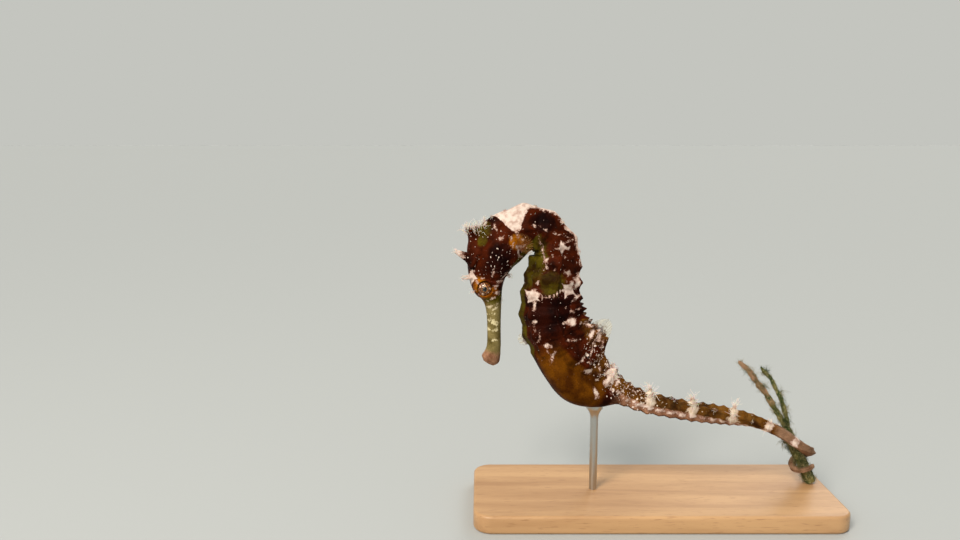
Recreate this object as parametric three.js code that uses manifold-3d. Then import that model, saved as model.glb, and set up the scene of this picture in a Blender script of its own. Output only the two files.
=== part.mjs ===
// A long-snouted spiny seahorse, life size, swimming with its head tucked down and its tail round a stem.
// A short cut length of the stem is its perch, and a flat base with two rods holds it up.
// Millimetres, +Z up. The animal faces -X and its left side faces -Y.
// The origin is the middle of the underside of the base.
import * as THREE from "three";
import { mergeVertices } from "three/addons/utils/BufferGeometryUtils.js";
import Module from "manifold-3d";

const wasm = await Module();
wasm.setup();

// ---------------------------------------------------------------- driving dimensions

const GAP = 0.3; // left between neighbouring pieces

// The backbone runs from the mouth to the tip of the tail. Places on it are distances from the mouth.
const MOUTH = [-45.9, 0, 41.6];
const SNOUT_END = 15.5;
const HEAD_END = 38.6;
const TRUNK_END = 88;
const STEM_CROSSING = 150.5;
const TAIL_TIP = 176;

// Bearing of the backbone in the middle plane, in degrees above +X, by distance from the mouth.
const BEARINGS = [
  [0, 62], // mouth, turned a little forwards
  [6, 90],
  [21, 92], // snout and face, straight up
  [28, 77],
  [38.6, 26], // nape
  [53.8, -99], // the arched neck ends
  [63, -95],
  [74.5, -66],
  [82.5, -42], // end of the trunk
  [97.5, -34],
  [108.5, -13],
  [124.5, -7], // the outstretched tail
  [133, -10],
  [142, -24],
  [150.5, -38], // across the front of the stem
];

// Half sizes of the body by distance from the mouth: to the back, to the belly, to the side.
const HEAD_GIRTH = [
  [15, 2.1, 2.0, 1.9],
  [17.6, 2.9, 2.15, 2.4],
  [20.4, 5.3, 2.4, 3.3], // eyes
  [24, 6.7, 3.2, 4.2],
  [27.5, 7.7, 4.7, 4.8], // gill covers
  [31, 8.5, 5.9, 4.9],
  [34.5, 8.1, 6.2, 4.6],
  [38.6, 7.1, 6.0, 4.4],
];
const BODY_GIRTH = [
  [38.6, 7.1, 6.0, 4.4],
  [45.5, 5.8, 6.0, 5.0],
  [50, 5.5, 6.6, 5.6],
  [54, 6.2, 7.4, 6.1],
  [59.5, 7.0, 8.1, 6.6],
  [65.5, 7.7, 8.7, 7.0],
  [73, 8.6, 9.3, 7.2],
  [80, 9.4, 8.0, 6.5],
  [84.5, 9.7, 6.5, 5.3], // raised base of the back fin
  [87, 7.4, 5.5, 4.5],
  [89, 5.2, 4.7, 4.0],
  [93.5, 3.9, 3.6, 3.2],
  [100.5, 2.8, 2.7, 2.5],
  [119.5, 2.3, 2.2, 2.0],
  [143, 2.0, 1.95, 1.7],
  [151, 1.75, 1.7, 1.5],
  [167, 0.95, 0.9, 0.85],
  [176, 0.45, 0.45, 0.45],
];
const SNOUT_RADII = [
  [0, 1.7],
  [1.1, 2.5], // lips
  [2.6, 2.3],
  [4.5, 1.95],
  [11, 1.9],
  [15.5, 2.15],
];
const MOUTH_DEPTH = 1.4;
const SNOUT_FLATNESS = 0.92; // width over depth
const SNOUT_SIDES = 12;
const SNOUT_STATIONS = [0, 0.5, 1.1, 1.9, 2.8, 4.5, 8, 11, SNOUT_END - GAP / 2];
const HEAD_SIDES = 16;
const HEAD_STEP = 1.35;

// Bony rings. Each has a groove at its ends and a spine on each ridge in its middle.
const TRUNK_RINGS = 11;
const TAIL_RINGS = 36;
const TAIL_RING_TAPER = 0.974; // length of a ring over the length of the one before it
const GROOVE = 0.955; // size at the groove over size at the ring
const SPINE_HALF_BASE = 0.2; // of a ring's length
const CREASE_FROM = 85; // the trunk's seven ridges become the tail's four from here
const CREASE_TO = 96;
const TWIST_FROM = 115; // the tail turns its back to the front from here to the crossing

// Ridges of one side from the back to the belly, as shares of the half sizes, on the trunk and on the tail.
// The first number is a share of the size to the back, or to the belly where it is negative.
const RIDGES = [
  { trunk: [0.95, 0], tail: [0.84, 0], spine: 0, corner: true },
  { trunk: [1, 0.42], tail: [1, 0.66], spine: 1.35, corner: true }, // upper ridge
  { trunk: [0.58, 0.76], tail: [0.5, 0.84], spine: 0 },
  { trunk: [0.1, 1], tail: [0.02, 0.93], spine: 0.8, trunkOnly: true, corner: true }, // side ridge
  { trunk: [-0.34, 0.88], tail: [-0.5, 0.84], spine: 0 },
  { trunk: [-0.68, 0.7], tail: [-1, 0.66], spine: 0.6, corner: true }, // lower ridge
  { trunk: [-0.86, 0.34], tail: [-0.92, 0.33], spine: 0 },
  { trunk: [-1, 0], tail: [-0.84, 0], spine: 0.25, corner: true }, // keel of the belly
];
const PLAIN_FROM = 110; // past here the tail's outline has only the corners of the list above
const TAIL_SPINE_EVERY = 4; // tail rings from one tall spine to the next
const FIRST_TALL_SPINE = 1; // tail ring with the first tall one
const SHORT_TRUNK_SPINE = 0.7; // of a tall spine, on every second ring of the trunk
const SHORT_TAIL_SPINE = 0.35;
const SPINE_GIRTH = 5; // a body this wide each way has spines of full length
const SLIM_SPINES = 0.5; // added to the share of full length on the slimmer tail

// Head.
const EYE = { at: 21.4, back: 2.3, side: 2.35, radius: 2.25 };
const ORBIT = { side: 1.6, radius: 2.95 }; // round swelling that carries the eye
const CORONET = { at: 29, back: 5.4, height: 7, foot: 3.4, waist: 2.6, top: 2.5, points: 5, lean: 6 };
const CORONET_PROFILE = { waist: 0.45, rim: 0.82, lip: 0.94, hollow: 0.86, lipInset: 0.6 }; // shares
const CORONET_POINT = { length: 1.7, radius: 0.7, spread: 34, out: 0.7, up: 0.78 };
// Spines of the head: place on the backbone, height above it, distance to the side, tilt forwards and sideways.
const HEAD_SPINES = [
  { at: 23.9, back: 5.2, side: 1.3, tilt: 18, splay: 18, length: 3.6, radius: 0.9 }, // brow
  { at: 21.2, back: 4.3, side: 1.9, tilt: 30, splay: 34, length: 1.8, radius: 0.6 }, // above each eye
  { at: 27.7, back: 6.6, side: 1.3, tilt: -6, splay: 14, length: 5.4, radius: 1.15 }, // crown
  { at: 18.9, back: -1.4, side: 1.4, tilt: 120, splay: 50, length: 2.2, radius: 0.6 }, // cheek
  { at: 25.4, back: -3, side: 2, tilt: 160, splay: 30, length: 1.9, radius: 0.7 }, // corner of each gill cover
];

// Brood pouch: distance from the mouth, depth of its floor below the backbone, half width.
const POUCH = [
  [74.5, 8.9, 2.6],
  [77, 9.0, 5.0],
  [80.5, 9.7, 6.6],
  [84.5, 10.8, 7.2],
  [88.5, 10.9, 6.9],
  [92.5, 9.4, 5.9],
  [96.5, 6.6, 4.3],
  [99.5, 4.4, 2.9],
];
const POUCH_ROOF = 1; // its upper side, this far below the backbone, is cut away by the body
const POUCH_SIDES = 16;
const POUCH_STEP = 1.7;

// Fins, flat plates with a scalloped edge.
const FIN_THICKNESS = 0.6;
const FIN_SINK = 0.9; // a fin starts this far under the surface and is cut to clear it
const FIN_ARCH = [0.12, 0.94]; // part of a half wave that the edge of a fin follows
const FIN_FULLNESS = 0.6; // below 1 the edge stays high to near its ends
const DORSAL_FIN = { from: 77, to: 87, height: 4.2, rays: 12 };
const ANAL_FIN = { from: 71.8, to: 74.1, height: 1.6, rays: 4 };
const PECTORAL_FIN = { at: 35.4, back: -2.3, root: 1.3, length: 5.2, rays: 9, fan: 100, splay: 26, turn: 16 };
const SCALLOP = 0.92; // edge of a fin between two rays over its edge at a ray

// Stem, blades and stand.
const STEM_RADIUS = 1.65;
const STEM_BEARING = -63;
const STEM_ABOVE = 3; // along the stem from the tail's crossing up to the fork
const STEM_BELOW = 14.6; // and down to the cut end
const STEM_SIDES = 10;
const STEM_STEPS = 9;
const STEM_SLIMNESS = [0.85, 0.94]; // above and below the crossing, over the radius the tail clears
const STEM_LUMPS = { height: 0.05, turn: 2.3 };
const BLADES = [
  { from: 116, to: 134, length: 26, setBack: 0.4, halfWidth: 1.05 },
  { from: 92, to: 134, length: 21, setBack: 2.4, halfWidth: 0.8 },
];
const BLADE_THICKNESS = 0.9;
const BLADE_STEPS = 10;
const BLADE_ROOT = 0.4; // of the way from the crossing to the fork
const BLADE_TAPER = { least: 0.72, from: 0.25, to: 0.85 }; // part of a half wave that its width follows
const WRAP_STEEP = 61; // slope of the tail along the stem at the crossing, in degrees
const WRAP_FLAT = 11; // and further on
const WRAP_EASE = [2.5, 12]; // the slope falls between these distances from the crossing

const BASE = { length: 100, width: 36, height: 5, corner: 5, bevel: 0.6 };
const BODY_ROD = { x: -16.5, radius: 1.1, cup: 2.3, cupHeight: 3 };
const PERCH_ROD = { radius: 0.75, inStem: 3.2 };
const SOCKET_FLOOR = 1.2; // material left under the rods in the base
const ROD_SIDES = 16;

const COLOURS = {
  skin: 0x3a1610,
  head: 0x4a2418,
  snout: 0xa08a5a,
  coronet: 0x34160e,
  iris: 0xb08a3a,
  pouch: 0x946214,
  tail: 0x8a5c44,
  fin: 0xb9a878,
  stem: 0x6b6a3a,
  base: 0xc9a97e,
  rod: 0xb8b8b4,
};

// ---------------------------------------------------------------- tables, backbone and sections

const deg = THREE.MathUtils.degToRad;
const clamp = THREE.MathUtils.clamp;

// Columns of a table at a distance along it, in straight steps.
function straight(table, at) {
  const last = table.length - 1;
  const row = clamp(table.findIndex((r) => r[0] >= at), 1, last);
  const i = at >= table[last][0] ? last : row;
  const [low, high] = [table[i - 1], table[i]];
  const t = clamp((at - low[0]) / (high[0] - low[0]), 0, 1);
  return low.slice(1).map((v, k) => v + (high[k + 1] - v) * t);
}

// The same in smooth steps, with the slope at each row taken from its neighbours.
function smooth(table, at) {
  const last = table.length - 1;
  const x = clamp(at, table[0][0], table[last][0]);
  const i = Math.max(1, table.findIndex((r) => r[0] >= x));
  const slope = (j, k) => {
    const a = table[Math.max(j - 1, 0)];
    const b = table[Math.min(j + 1, last)];
    return (b[k] - a[k]) / (b[0] - a[0]);
  };
  const [low, high] = [table[i - 1], table[i]];
  const span = high[0] - low[0];
  const t = (x - low[0]) / span;
  return low.slice(1).map((v, c) => {
    const k = c + 1;
    const rise = high[k] - v;
    const a = slope(i - 1, k) * span - rise;
    const b = rise - slope(i, k) * span;
    return v + rise * t + t * (1 - t) * ((1 - t) * a + t * b);
  });
}

const LEFT = new THREE.Vector3(0, -1, 0);
const stemDirection = new THREE.Vector3(Math.cos(deg(STEM_BEARING)), 0, Math.sin(deg(STEM_BEARING)));
const stemSide = new THREE.Vector3().crossVectors(stemDirection, LEFT).negate();

// The backbone as a dense list of places: in the middle plane as far as the stem, then a helix round it.
const STEP = 0.2;
function layBackbone() {
  const places = [];
  const point = new THREE.Vector3(...MOUTH);
  let at = 0;
  const add = (ahead, back) => {
    const side = new THREE.Vector3().crossVectors(ahead, back).normalize();
    places.push({ at, point: point.clone(), ahead, back, side });
  };
  for (; at < STEM_CROSSING; at += STEP) {
    const bearing = deg(straight(BEARINGS, at)[0]);
    const ahead = new THREE.Vector3(Math.cos(bearing), 0, Math.sin(bearing));
    const twist = (Math.PI / 2) * THREE.MathUtils.smoothstep(at, TWIST_FROM, STEM_CROSSING);
    const back = new THREE.Vector3(-Math.sin(bearing), 0, Math.cos(bearing));
    add(ahead, back.multiplyScalar(Math.cos(twist)).addScaledVector(LEFT, Math.sin(twist)));
    point.addScaledVector(ahead, STEP);
  }
  const reach = (place) => STEM_RADIUS + GAP + smooth(BODY_GIRTH, place)[1];
  const crossing = point.clone().addScaledVector(LEFT, -reach(STEM_CROSSING));
  let turn = 0;
  let down = 0;
  for (; at <= TAIL_TIP + STEP; at += STEP) {
    const [easeFrom, easeTo] = WRAP_EASE;
    const ease = THREE.MathUtils.smoothstep(at - STEM_CROSSING, easeFrom, easeTo);
    const slope = deg(THREE.MathUtils.lerp(WRAP_STEEP, WRAP_FLAT, ease));
    const back = LEFT.clone().multiplyScalar(Math.cos(turn)).addScaledVector(stemSide, Math.sin(turn));
    const round = LEFT.clone().multiplyScalar(-Math.sin(turn)).addScaledVector(stemSide, Math.cos(turn));
    const ahead = round.multiplyScalar(Math.cos(slope)).addScaledVector(stemDirection, Math.sin(slope));
    point.copy(crossing).addScaledVector(stemDirection, down).addScaledVector(back, reach(at));
    add(ahead, back);
    turn += (Math.cos(slope) * STEP) / reach(at);
    down += Math.sin(slope) * STEP;
  }
  return { places, crossing };
}
const { places, crossing } = layBackbone();

// Point and axes at a distance from the mouth.
function placeAt(at) {
  const i = clamp(Math.floor(at / STEP), 0, places.length - 2);
  const [a, b] = [places[i], places[i + 1]];
  const t = clamp((at - a.at) / STEP, 0, 1);
  const mix = (key) => a[key].clone().lerp(b[key], t);
  return { point: mix("point"), ahead: mix("ahead").normalize(), back: mix("back").normalize(),
    side: mix("side").normalize() };
}

// A point given by its height above the backbone and its distance to the left.
function offset(place, back, side) {
  return place.point.clone().addScaledVector(place.back, back).addScaledVector(place.side, side);
}

// Lengths of the rings and where each starts.
const ringStarts = [];
for (let i = 0; i < TRUNK_RINGS; i++)
  ringStarts.push(HEAD_END + ((TRUNK_END - HEAD_END) * i) / TRUNK_RINGS);
const taperSum = (1 - TAIL_RING_TAPER ** TAIL_RINGS) / (1 - TAIL_RING_TAPER);
for (let i = 0; i < TAIL_RINGS; i++) {
  const before = (1 - TAIL_RING_TAPER ** i) / (1 - TAIL_RING_TAPER);
  ringStarts.push(TRUNK_END + ((TAIL_TIP - TRUNK_END) * before) / taperSum);
}
ringStarts.push(TAIL_TIP);

// Length of the spines on one ring, as a share of a tall one.
function spineScale(ring) {
  const tailRing = ring - TRUNK_RINGS;
  if (tailRing < 0) return ring % 2 ? SHORT_TRUNK_SPINE : 1;
  return tailRing % TAIL_SPINE_EVERY === FIRST_TALL_SPINE ? 1 : SHORT_TAIL_SPINE;
}

// Outline of the ringed body at a distance from the mouth. Size is the swelling of the ring, spines the share
// of the length of its spines, and grown a margin all round.
function bodyOutline(at, size, spines, ridges, grown) {
  const [toBack, toBelly, toSide] = smooth(BODY_GIRTH, at);
  const tail = THREE.MathUtils.smoothstep(at, CREASE_FROM, CREASE_TO);
  const stout = Math.min(1, toSide / SPINE_GIRTH + tail * SLIM_SPINES);
  const half = ridges.map((ridge) => {
    const [height, width] = [0, 1].map((k) => THREE.MathUtils.lerp(ridge.trunk[k], ridge.tail[k], tail));
    const point = new THREE.Vector2(height * (height > 0 ? toBack : toBelly), width * toSide);
    const fade = ridge.trunkOnly ? 1 - tail : 1;
    return point.setLength(point.length() * size + grown + ridge.spine * fade * stout * spines);
  });
  const other = half.slice(1, -1).reverse().map((p) => new THREE.Vector2(p.x, -p.y));
  const place = placeAt(at);
  return [...half, ...other].map((p) => offset(place, p.x, p.y));
}

// Round outline of the snout, the head or the pouch.
function ovalOutline(at, toBack, toBelly, toSide, sides) {
  const place = placeAt(at);
  return Array.from({ length: sides }, (_, i) => {
    const turn = (2 * Math.PI * i) / sides;
    const reach = Math.cos(turn) > 0 ? toBack : toBelly;
    return offset(place, reach * Math.cos(turn), toSide * Math.sin(turn));
  });
}

// ---------------------------------------------------------------- solids

// Closed solid through a row of outlines with equal numbers of points; dish sinks the middle of its first end.
function loft(outlines, dish = 0) {
  const sides = outlines[0].length;
  const points = outlines.flat();
  const middle = (outline) =>
    outline.reduce((sum, p) => sum.add(p), new THREE.Vector3()).divideScalar(sides);
  const first = middle(outlines[0]);
  const second = middle(outlines[1]);
  first.addScaledVector(second.clone().sub(first).normalize(), dish);
  points.push(first, middle(outlines[outlines.length - 1]));
  const faces = [];
  for (let row = 0; row < outlines.length; row++)
    for (let i = 0; i < sides; i++) {
      const a = row * sides + i;
      const b = row * sides + ((i + 1) % sides);
      if (row === 0) faces.push(points.length - 2, b, a);
      if (row === outlines.length - 1) faces.push(points.length - 1, a, b);
      else faces.push(a, b, b + sides, a, b + sides, a + sides);
    }
  return new wasm.Manifold(
    new wasm.Mesh({
      numProp: 3,
      vertProperties: new Float32Array(points.flatMap((p) => p.toArray())),
      triVerts: new Uint32Array(faces),
    }),
  );
}

// A three.js geometry as a solid.
function solidOf(geometry) {
  const bare = geometry.clone();
  bare.deleteAttribute("normal");
  bare.deleteAttribute("uv");
  const merged = mergeVertices(bare, 1e-4);
  return new wasm.Manifold(
    new wasm.Mesh({
      numProp: 3,
      vertProperties: merged.attributes.position.array,
      triVerts: new Uint32Array(merged.index.array),
    }),
  );
}

function geometryOf(solid) {
  const mesh = solid.getMesh();
  const geometry = new THREE.BufferGeometry();
  geometry.setAttribute("position", new THREE.BufferAttribute(mesh.vertProperties, 3));
  geometry.setIndex(new THREE.BufferAttribute(mesh.triVerts, 1));
  geometry.computeVertexNormals();
  return geometry;
}

const join = (solids) => solids.reduce((a, b) => a.add(b));
const cut = (solid, ...tools) => tools.reduce((a, b) => a.subtract(b), solid);

// A stretch of the ringed body. Its ends stop half a gap short of the places given.
function bodyLength(from, to, grown = 0, trim = GAP / 2) {
  const ridges = from > PLAIN_FROM ? RIDGES.filter((ridge) => ridge.corner) : RIDGES;
  const stations = [];
  ringStarts.slice(0, -1).forEach((start, ring) => {
    const length = ringStarts[ring + 1] - start;
    const middle = start + length / 2;
    const base = SPINE_HALF_BASE * length;
    const scale = spineScale(ring);
    stations.push([start, GROOVE, 0], [middle - base, 1, 0], [middle, 1, scale], [middle + base, 1, 0]);
  });
  const inside = stations.filter(([at]) => at > from + 2 * trim && at < to - 2 * trim);
  const ends = [[from + trim, GROOVE, 0], ...inside, [to - trim, GROOVE, 0]];
  return loft(ends.map(([at, size, spines]) => bodyOutline(at, size, spines, ridges, grown)));
}

// A pointed spine that leans from the back of the animal towards its front and its side.
function spine(at, back, side, tilt, splay, length, radius) {
  const place = placeAt(at);
  const out = place.back.clone();
  out.applyAxisAngle(place.side, deg(tilt));
  out.applyAxisAngle(place.ahead, deg(splay));
  const cone = new THREE.ConeGeometry(radius, length, 6);
  cone.translate(0, length / 2, 0);
  cone.applyQuaternion(new THREE.Quaternion().setFromUnitVectors(new THREE.Vector3(0, 1, 0), out));
  const root = offset(place, back, side);
  cone.translate(root.x, root.y, root.z);
  return solidOf(cone);
}

function ball(at, back, side, radius, detail) {
  const sphere = new THREE.SphereGeometry(radius, detail, detail / 2);
  const middle = offset(placeAt(at), back, side);
  sphere.translate(middle.x, middle.y, middle.z);
  return solidOf(sphere);
}

// ---------------------------------------------------------------- head

function skullSolid(grown) {
  const stations = [];
  for (let at = SNOUT_END + GAP / 2; at < HEAD_END - HEAD_STEP / 2; at += HEAD_STEP) stations.push(at);
  stations.push(HEAD_END - GAP / 2);
  const outlines = stations.map((at) => {
    const [back, belly, side] = smooth(HEAD_GIRTH, at);
    return ovalOutline(at, back + grown, belly + grown, side + grown, HEAD_SIDES);
  });
  return loft(outlines);
}

// Crown of blunt points on the nape.
function coronet() {
  const place = placeAt(CORONET.at);
  const { height, foot, waist, top } = CORONET;
  const profile = [
    [0, 0],
    [foot, 0],
    [waist, height * CORONET_PROFILE.waist],
    [top, height * CORONET_PROFILE.rim],
    [top * CORONET_PROFILE.lipInset, height * CORONET_PROFILE.lip],
    [0, height * CORONET_PROFILE.hollow],
  ].map(([r, z]) => new THREE.Vector2(r, z));
  const solids = [solidOf(new THREE.LatheGeometry(profile, 10))];
  for (let i = 0; i < CORONET.points; i++) {
    const { length, radius, spread, out, up } = CORONET_POINT;
    const cone = new THREE.ConeGeometry(radius, length, 5);
    cone.translate(0, length / 2, 0);
    cone.rotateZ(-deg(spread));
    cone.translate(top * out, height * up, 0);
    cone.rotateY((2 * Math.PI * (i + 0.5)) / CORONET.points);
    solids.push(solidOf(cone));
  }
  const solid = geometryOf(join(solids));
  solid.rotateX(Math.PI / 2);
  solid.rotateY(-deg(CORONET.lean));
  const root = offset(place, CORONET.back, 0);
  solid.translate(root.x, root.y, root.z);
  return solidOf(solid);
}

const eyes = [1, -1].map((side) => ball(EYE.at, EYE.back, side * EYE.side, EYE.radius, 16));
const sockets = [1, -1].map((side) => ball(EYE.at, EYE.back, side * EYE.side, EYE.radius + GAP, 16));
const orbits = [1, -1].map((side) => ball(EYE.at, EYE.back, side * ORBIT.side, ORBIT.radius, 14));
const headSpines = (grown) =>
  HEAD_SPINES.flatMap(({ at, back, side, tilt, splay, length, radius }) =>
    (side ? [1, -1] : [0]).map((s) => spine(at, back, s * side, tilt, s * splay, length, radius + grown)),
  );

const snoutRows = [];
for (const at of SNOUT_STATIONS) {
  const [radius] = smooth(SNOUT_RADII, at);
  snoutRows.push(ovalOutline(at, radius, radius, radius * SNOUT_FLATNESS, SNOUT_SIDES));
}
const snout = loft(snoutRows, MOUTH_DEPTH);
const skull = skullSolid(0);
const skullGrown = skullSolid(GAP);
const crown = cut(coronet(), skullGrown, ...headSpines(GAP));
const head = cut(join([skull, ...orbits, ...headSpines(0)]), ...sockets);

// ---------------------------------------------------------------- body, pouch and fins

const bodyGrown = bodyLength(HEAD_END, STEM_CROSSING, GAP, -GAP);

function pouchSolid(grown) {
  const [first, last] = [POUCH[0][0], POUCH[POUCH.length - 1][0]];
  const outlines = [];
  for (let at = first; at <= last; at += POUCH_STEP) {
    const [floor, side] = smooth(POUCH, at);
    const place = placeAt(at);
    outlines.push(
      Array.from({ length: POUCH_SIDES }, (_, i) => {
        const turn = (2 * Math.PI * i) / POUCH_SIDES;
        const half = (floor - POUCH_ROOF) / 2 + grown;
        const middle = -(floor + POUCH_ROOF) / 2;
        return offset(place, middle + half * Math.cos(turn), (side + grown) * Math.sin(turn));
      }),
    );
  }
  return loft(outlines);
}
const pouch = cut(pouchSolid(0), bodyGrown);

// Flat fin along the back (edge 1) or the belly (edge -1), in the middle plane.
function midFin({ from, to, height, rays }, edge) {
  const outline = [];
  const girth = edge > 0 ? 0 : 1;
  const row = (at, rise) => offset(placeAt(at), edge * (smooth(BODY_GIRTH, at)[girth] + rise), 0);
  const steps = rays * 2;
  for (let i = 0; i <= steps; i++) {
    const t = i / steps;
    const arch = Math.sin(Math.PI * THREE.MathUtils.lerp(...FIN_ARCH, t)) ** FIN_FULLNESS;
    outline.push(row(from + (to - from) * t, height * arch * (i % 2 ? 1 : SCALLOP)));
  }
  for (let i = steps; i >= 0; i -= 2) outline.push(row(from + ((to - from) * i) / steps, -FIN_SINK));
  const shape = new THREE.Shape(outline.map((p) => new THREE.Vector2(p.x, p.z)));
  const plate = new THREE.ExtrudeGeometry(shape, { depth: FIN_THICKNESS, bevelEnabled: false });
  plate.rotateX(Math.PI / 2);
  plate.translate(0, FIN_THICKNESS / 2, 0);
  return solidOf(plate);
}

// Fan-shaped fin behind the gill opening, splayed from the neck; side is 1 on the left and -1 on the right.
function pectoralFin(side) {
  const { at, back, root, length, rays, fan, splay, turn } = PECTORAL_FIN;
  const steps = rays * 2;
  const spoke = (i, reach) => {
    const a = deg(fan * (i / steps - 0.5));
    return new THREE.Vector2(reach * Math.cos(a), reach * Math.sin(a));
  };
  const rim = Array.from({ length: steps + 1 }, (_, i) => spoke(i, length * (i % 2 ? 1 : SCALLOP)));
  const foot = [spoke(steps, root), spoke(steps / 2, root), spoke(0, root)];
  const shape = new THREE.Shape([...rim, ...foot]);
  const plate = new THREE.ExtrudeGeometry(shape, { depth: FIN_THICKNESS, bevelEnabled: false });
  plate.translate(0, 0, -FIN_THICKNESS / 2);
  const place = placeAt(at);
  const across = place.back.clone().applyAxisAngle(place.side, -deg(turn));
  const out = place.ahead.clone().applyAxisAngle(place.side, -deg(turn)).multiplyScalar(Math.cos(deg(splay)));
  out.addScaledVector(place.side, side * Math.sin(deg(splay)));
  const face = new THREE.Vector3().crossVectors(out, across);
  const [, , halfWidth] = smooth(HEAD_GIRTH, at);
  const foothold = offset(place, back, side * (halfWidth - GAP));
  plate.applyMatrix4(new THREE.Matrix4().makeBasis(out, across, face).setPosition(foothold));
  return cut(solidOf(plate), bodyGrown, skullGrown);
}

// ---------------------------------------------------------------- stem and stand

const stemAt = (along) => crossing.clone().addScaledVector(stemDirection, along);

// Oval outline across a direction in the plane of the stem.
function stemOutline(middle, across, halfWidth, halfThickness) {
  return Array.from({ length: STEM_SIDES }, (_, i) => {
    const turn = (2 * Math.PI * i) / STEM_SIDES;
    return middle.clone().addScaledVector(across, halfWidth * Math.cos(turn))
      .addScaledVector(LEFT, halfThickness * Math.sin(turn));
  });
}

function stem() {
  const rows = [];
  for (let i = 0; i <= STEM_STEPS; i++) {
    const along = THREE.MathUtils.lerp(-STEM_ABOVE, STEM_BELOW, i / STEM_STEPS);
    const lump = 1 + STEM_LUMPS.height * Math.sin(i * STEM_LUMPS.turn);
    const radius = STEM_RADIUS * lump * STEM_SLIMNESS[along < 0 ? 0 : 1];
    rows.push(stemOutline(stemAt(along), stemSide, radius, radius));
  }
  return loft(rows);
}

function blade({ from, to, length, setBack, halfWidth }) {
  const point = stemAt(-STEM_ABOVE * BLADE_ROOT);
  const rows = [];
  for (let i = 0; i <= BLADE_STEPS; i++) {
    const t = i / BLADE_STEPS;
    const bearing = deg(THREE.MathUtils.lerp(from, to, t));
    const across = new THREE.Vector3(-Math.sin(bearing), 0, Math.cos(bearing));
    const middle = point.clone().addScaledVector(LEFT, -setBack * Math.sin((t * Math.PI) / 2));
    const belly = Math.sin(Math.PI * THREE.MathUtils.lerp(BLADE_TAPER.from, BLADE_TAPER.to, t));
    const taper = THREE.MathUtils.lerp(BLADE_TAPER.least, 1, belly);
    rows.push(stemOutline(middle, across, halfWidth * taper, BLADE_THICKNESS / 2));
    point.x += (Math.cos(bearing) * length) / BLADE_STEPS;
    point.z += (Math.sin(bearing) * length) / BLADE_STEPS;
  }
  return loft(rows);
}

// Upright solid of revolution from [radius, height] rows.
function turned(rows) {
  const profile = new THREE.LatheGeometry(rows.map(([r, z]) => new THREE.Vector2(r, z)), ROD_SIDES);
  profile.rotateX(Math.PI / 2);
  return profile;
}

function perchRod(grown) {
  const top = STEM_BELOW - PERCH_ROD.inStem - grown;
  const floor = (crossing.z - SOCKET_FLOOR + grown) / Math.sin(-deg(STEM_BEARING));
  const radius = PERCH_ROD.radius + grown;
  const rod = new THREE.CylinderGeometry(radius, radius, floor - top, ROD_SIDES);
  rod.applyQuaternion(new THREE.Quaternion().setFromUnitVectors(new THREE.Vector3(0, 1, 0), stemDirection));
  const middle = stemAt((floor + top) / 2);
  rod.translate(middle.x, middle.y, middle.z);
  return solidOf(rod);
}

function bodyRod(grown) {
  const { x, radius, cup, cupHeight } = BODY_ROD;
  const reach = radius + grown;
  const rows = [
    [0, SOCKET_FLOOR - grown],
    [reach, SOCKET_FLOOR - grown],
    [reach, pouchFloor - cupHeight],
    [cup + grown, pouchFloor],
    [cup + grown, pouchFloor + cupHeight],
    [0, pouchFloor + cupHeight],
  ];
  return solidOf(turned(rows).translate(x, 0, 0));
}

function base() {
  const { length, width, height, corner, bevel } = BASE;
  const [x, y] = [length / 2 - bevel, width / 2 - bevel];
  const r = corner - bevel;
  const shape = new THREE.Shape();
  shape.absarc(x - r, y - r, r, 0, Math.PI / 2);
  shape.absarc(-x + r, y - r, r, Math.PI / 2, Math.PI);
  shape.absarc(-x + r, -y + r, r, Math.PI, 1.5 * Math.PI);
  shape.absarc(x - r, -y + r, r, 1.5 * Math.PI, 2 * Math.PI);
  const edge = { bevelThickness: bevel, bevelSize: bevel, bevelSegments: 1 };
  const plate = new THREE.ExtrudeGeometry(shape, { depth: height - 2 * bevel, curveSegments: 5, ...edge });
  return solidOf(plate.translate(0, 0, bevel));
}

const pouchGrown = pouchSolid(GAP);
const pouchFloor = pouchGrown.boundingBox().min[2];
const rodBody = cut(bodyRod(0), pouchGrown);
const rodPerch = perchRod(0);
const perch = cut(join([stem(), ...BLADES.map(blade)]), perchRod(GAP));
const standBase = cut(base(), perchRod(GAP), bodyRod(GAP));

// ---------------------------------------------------------------- scene

const scene = new THREE.Group();
function add(name, solid, colour, roughness = 0.6, metalness = 0) {
  const material = new THREE.MeshStandardMaterial({ color: colour, roughness, metalness });
  const mesh = new THREE.Mesh(solid.isBufferGeometry ? solid : geometryOf(solid), material);
  mesh.name = name;
  scene.add(mesh);
}

add("snout", snout, COLOURS.snout);
add("head", head, COLOURS.head);
add("coronet", crown, COLOURS.coronet);
add("eye_left", eyes[0], COLOURS.iris, 0.1);
add("eye_right", eyes[1], COLOURS.iris, 0.1);
const cuts = [
  ["neck", HEAD_END, ringStarts[2], COLOURS.skin],
  ["trunk_upper", ringStarts[2], ringStarts[6], COLOURS.skin],
  ["trunk_lower", ringStarts[6], ringStarts[11], COLOURS.skin],
  ["tail_1", ringStarts[11], ringStarts[16], COLOURS.tail],
  ["tail_2", ringStarts[16], ringStarts[22], COLOURS.tail],
  ["tail_3", ringStarts[22], ringStarts[29], COLOURS.tail],
  ["tail_4", ringStarts[29], ringStarts[36], COLOURS.tail],
  ["tail_5", ringStarts[36], TAIL_TIP, COLOURS.tail],
];
for (const [name, from, to, colour] of cuts) add(name, bodyLength(from, to), colour);
add("brood_pouch", pouch, COLOURS.pouch);
add("dorsal_fin", cut(midFin(DORSAL_FIN, 1), bodyGrown), COLOURS.fin);
add("anal_fin", cut(midFin(ANAL_FIN, -1), bodyGrown), COLOURS.fin);

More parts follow.
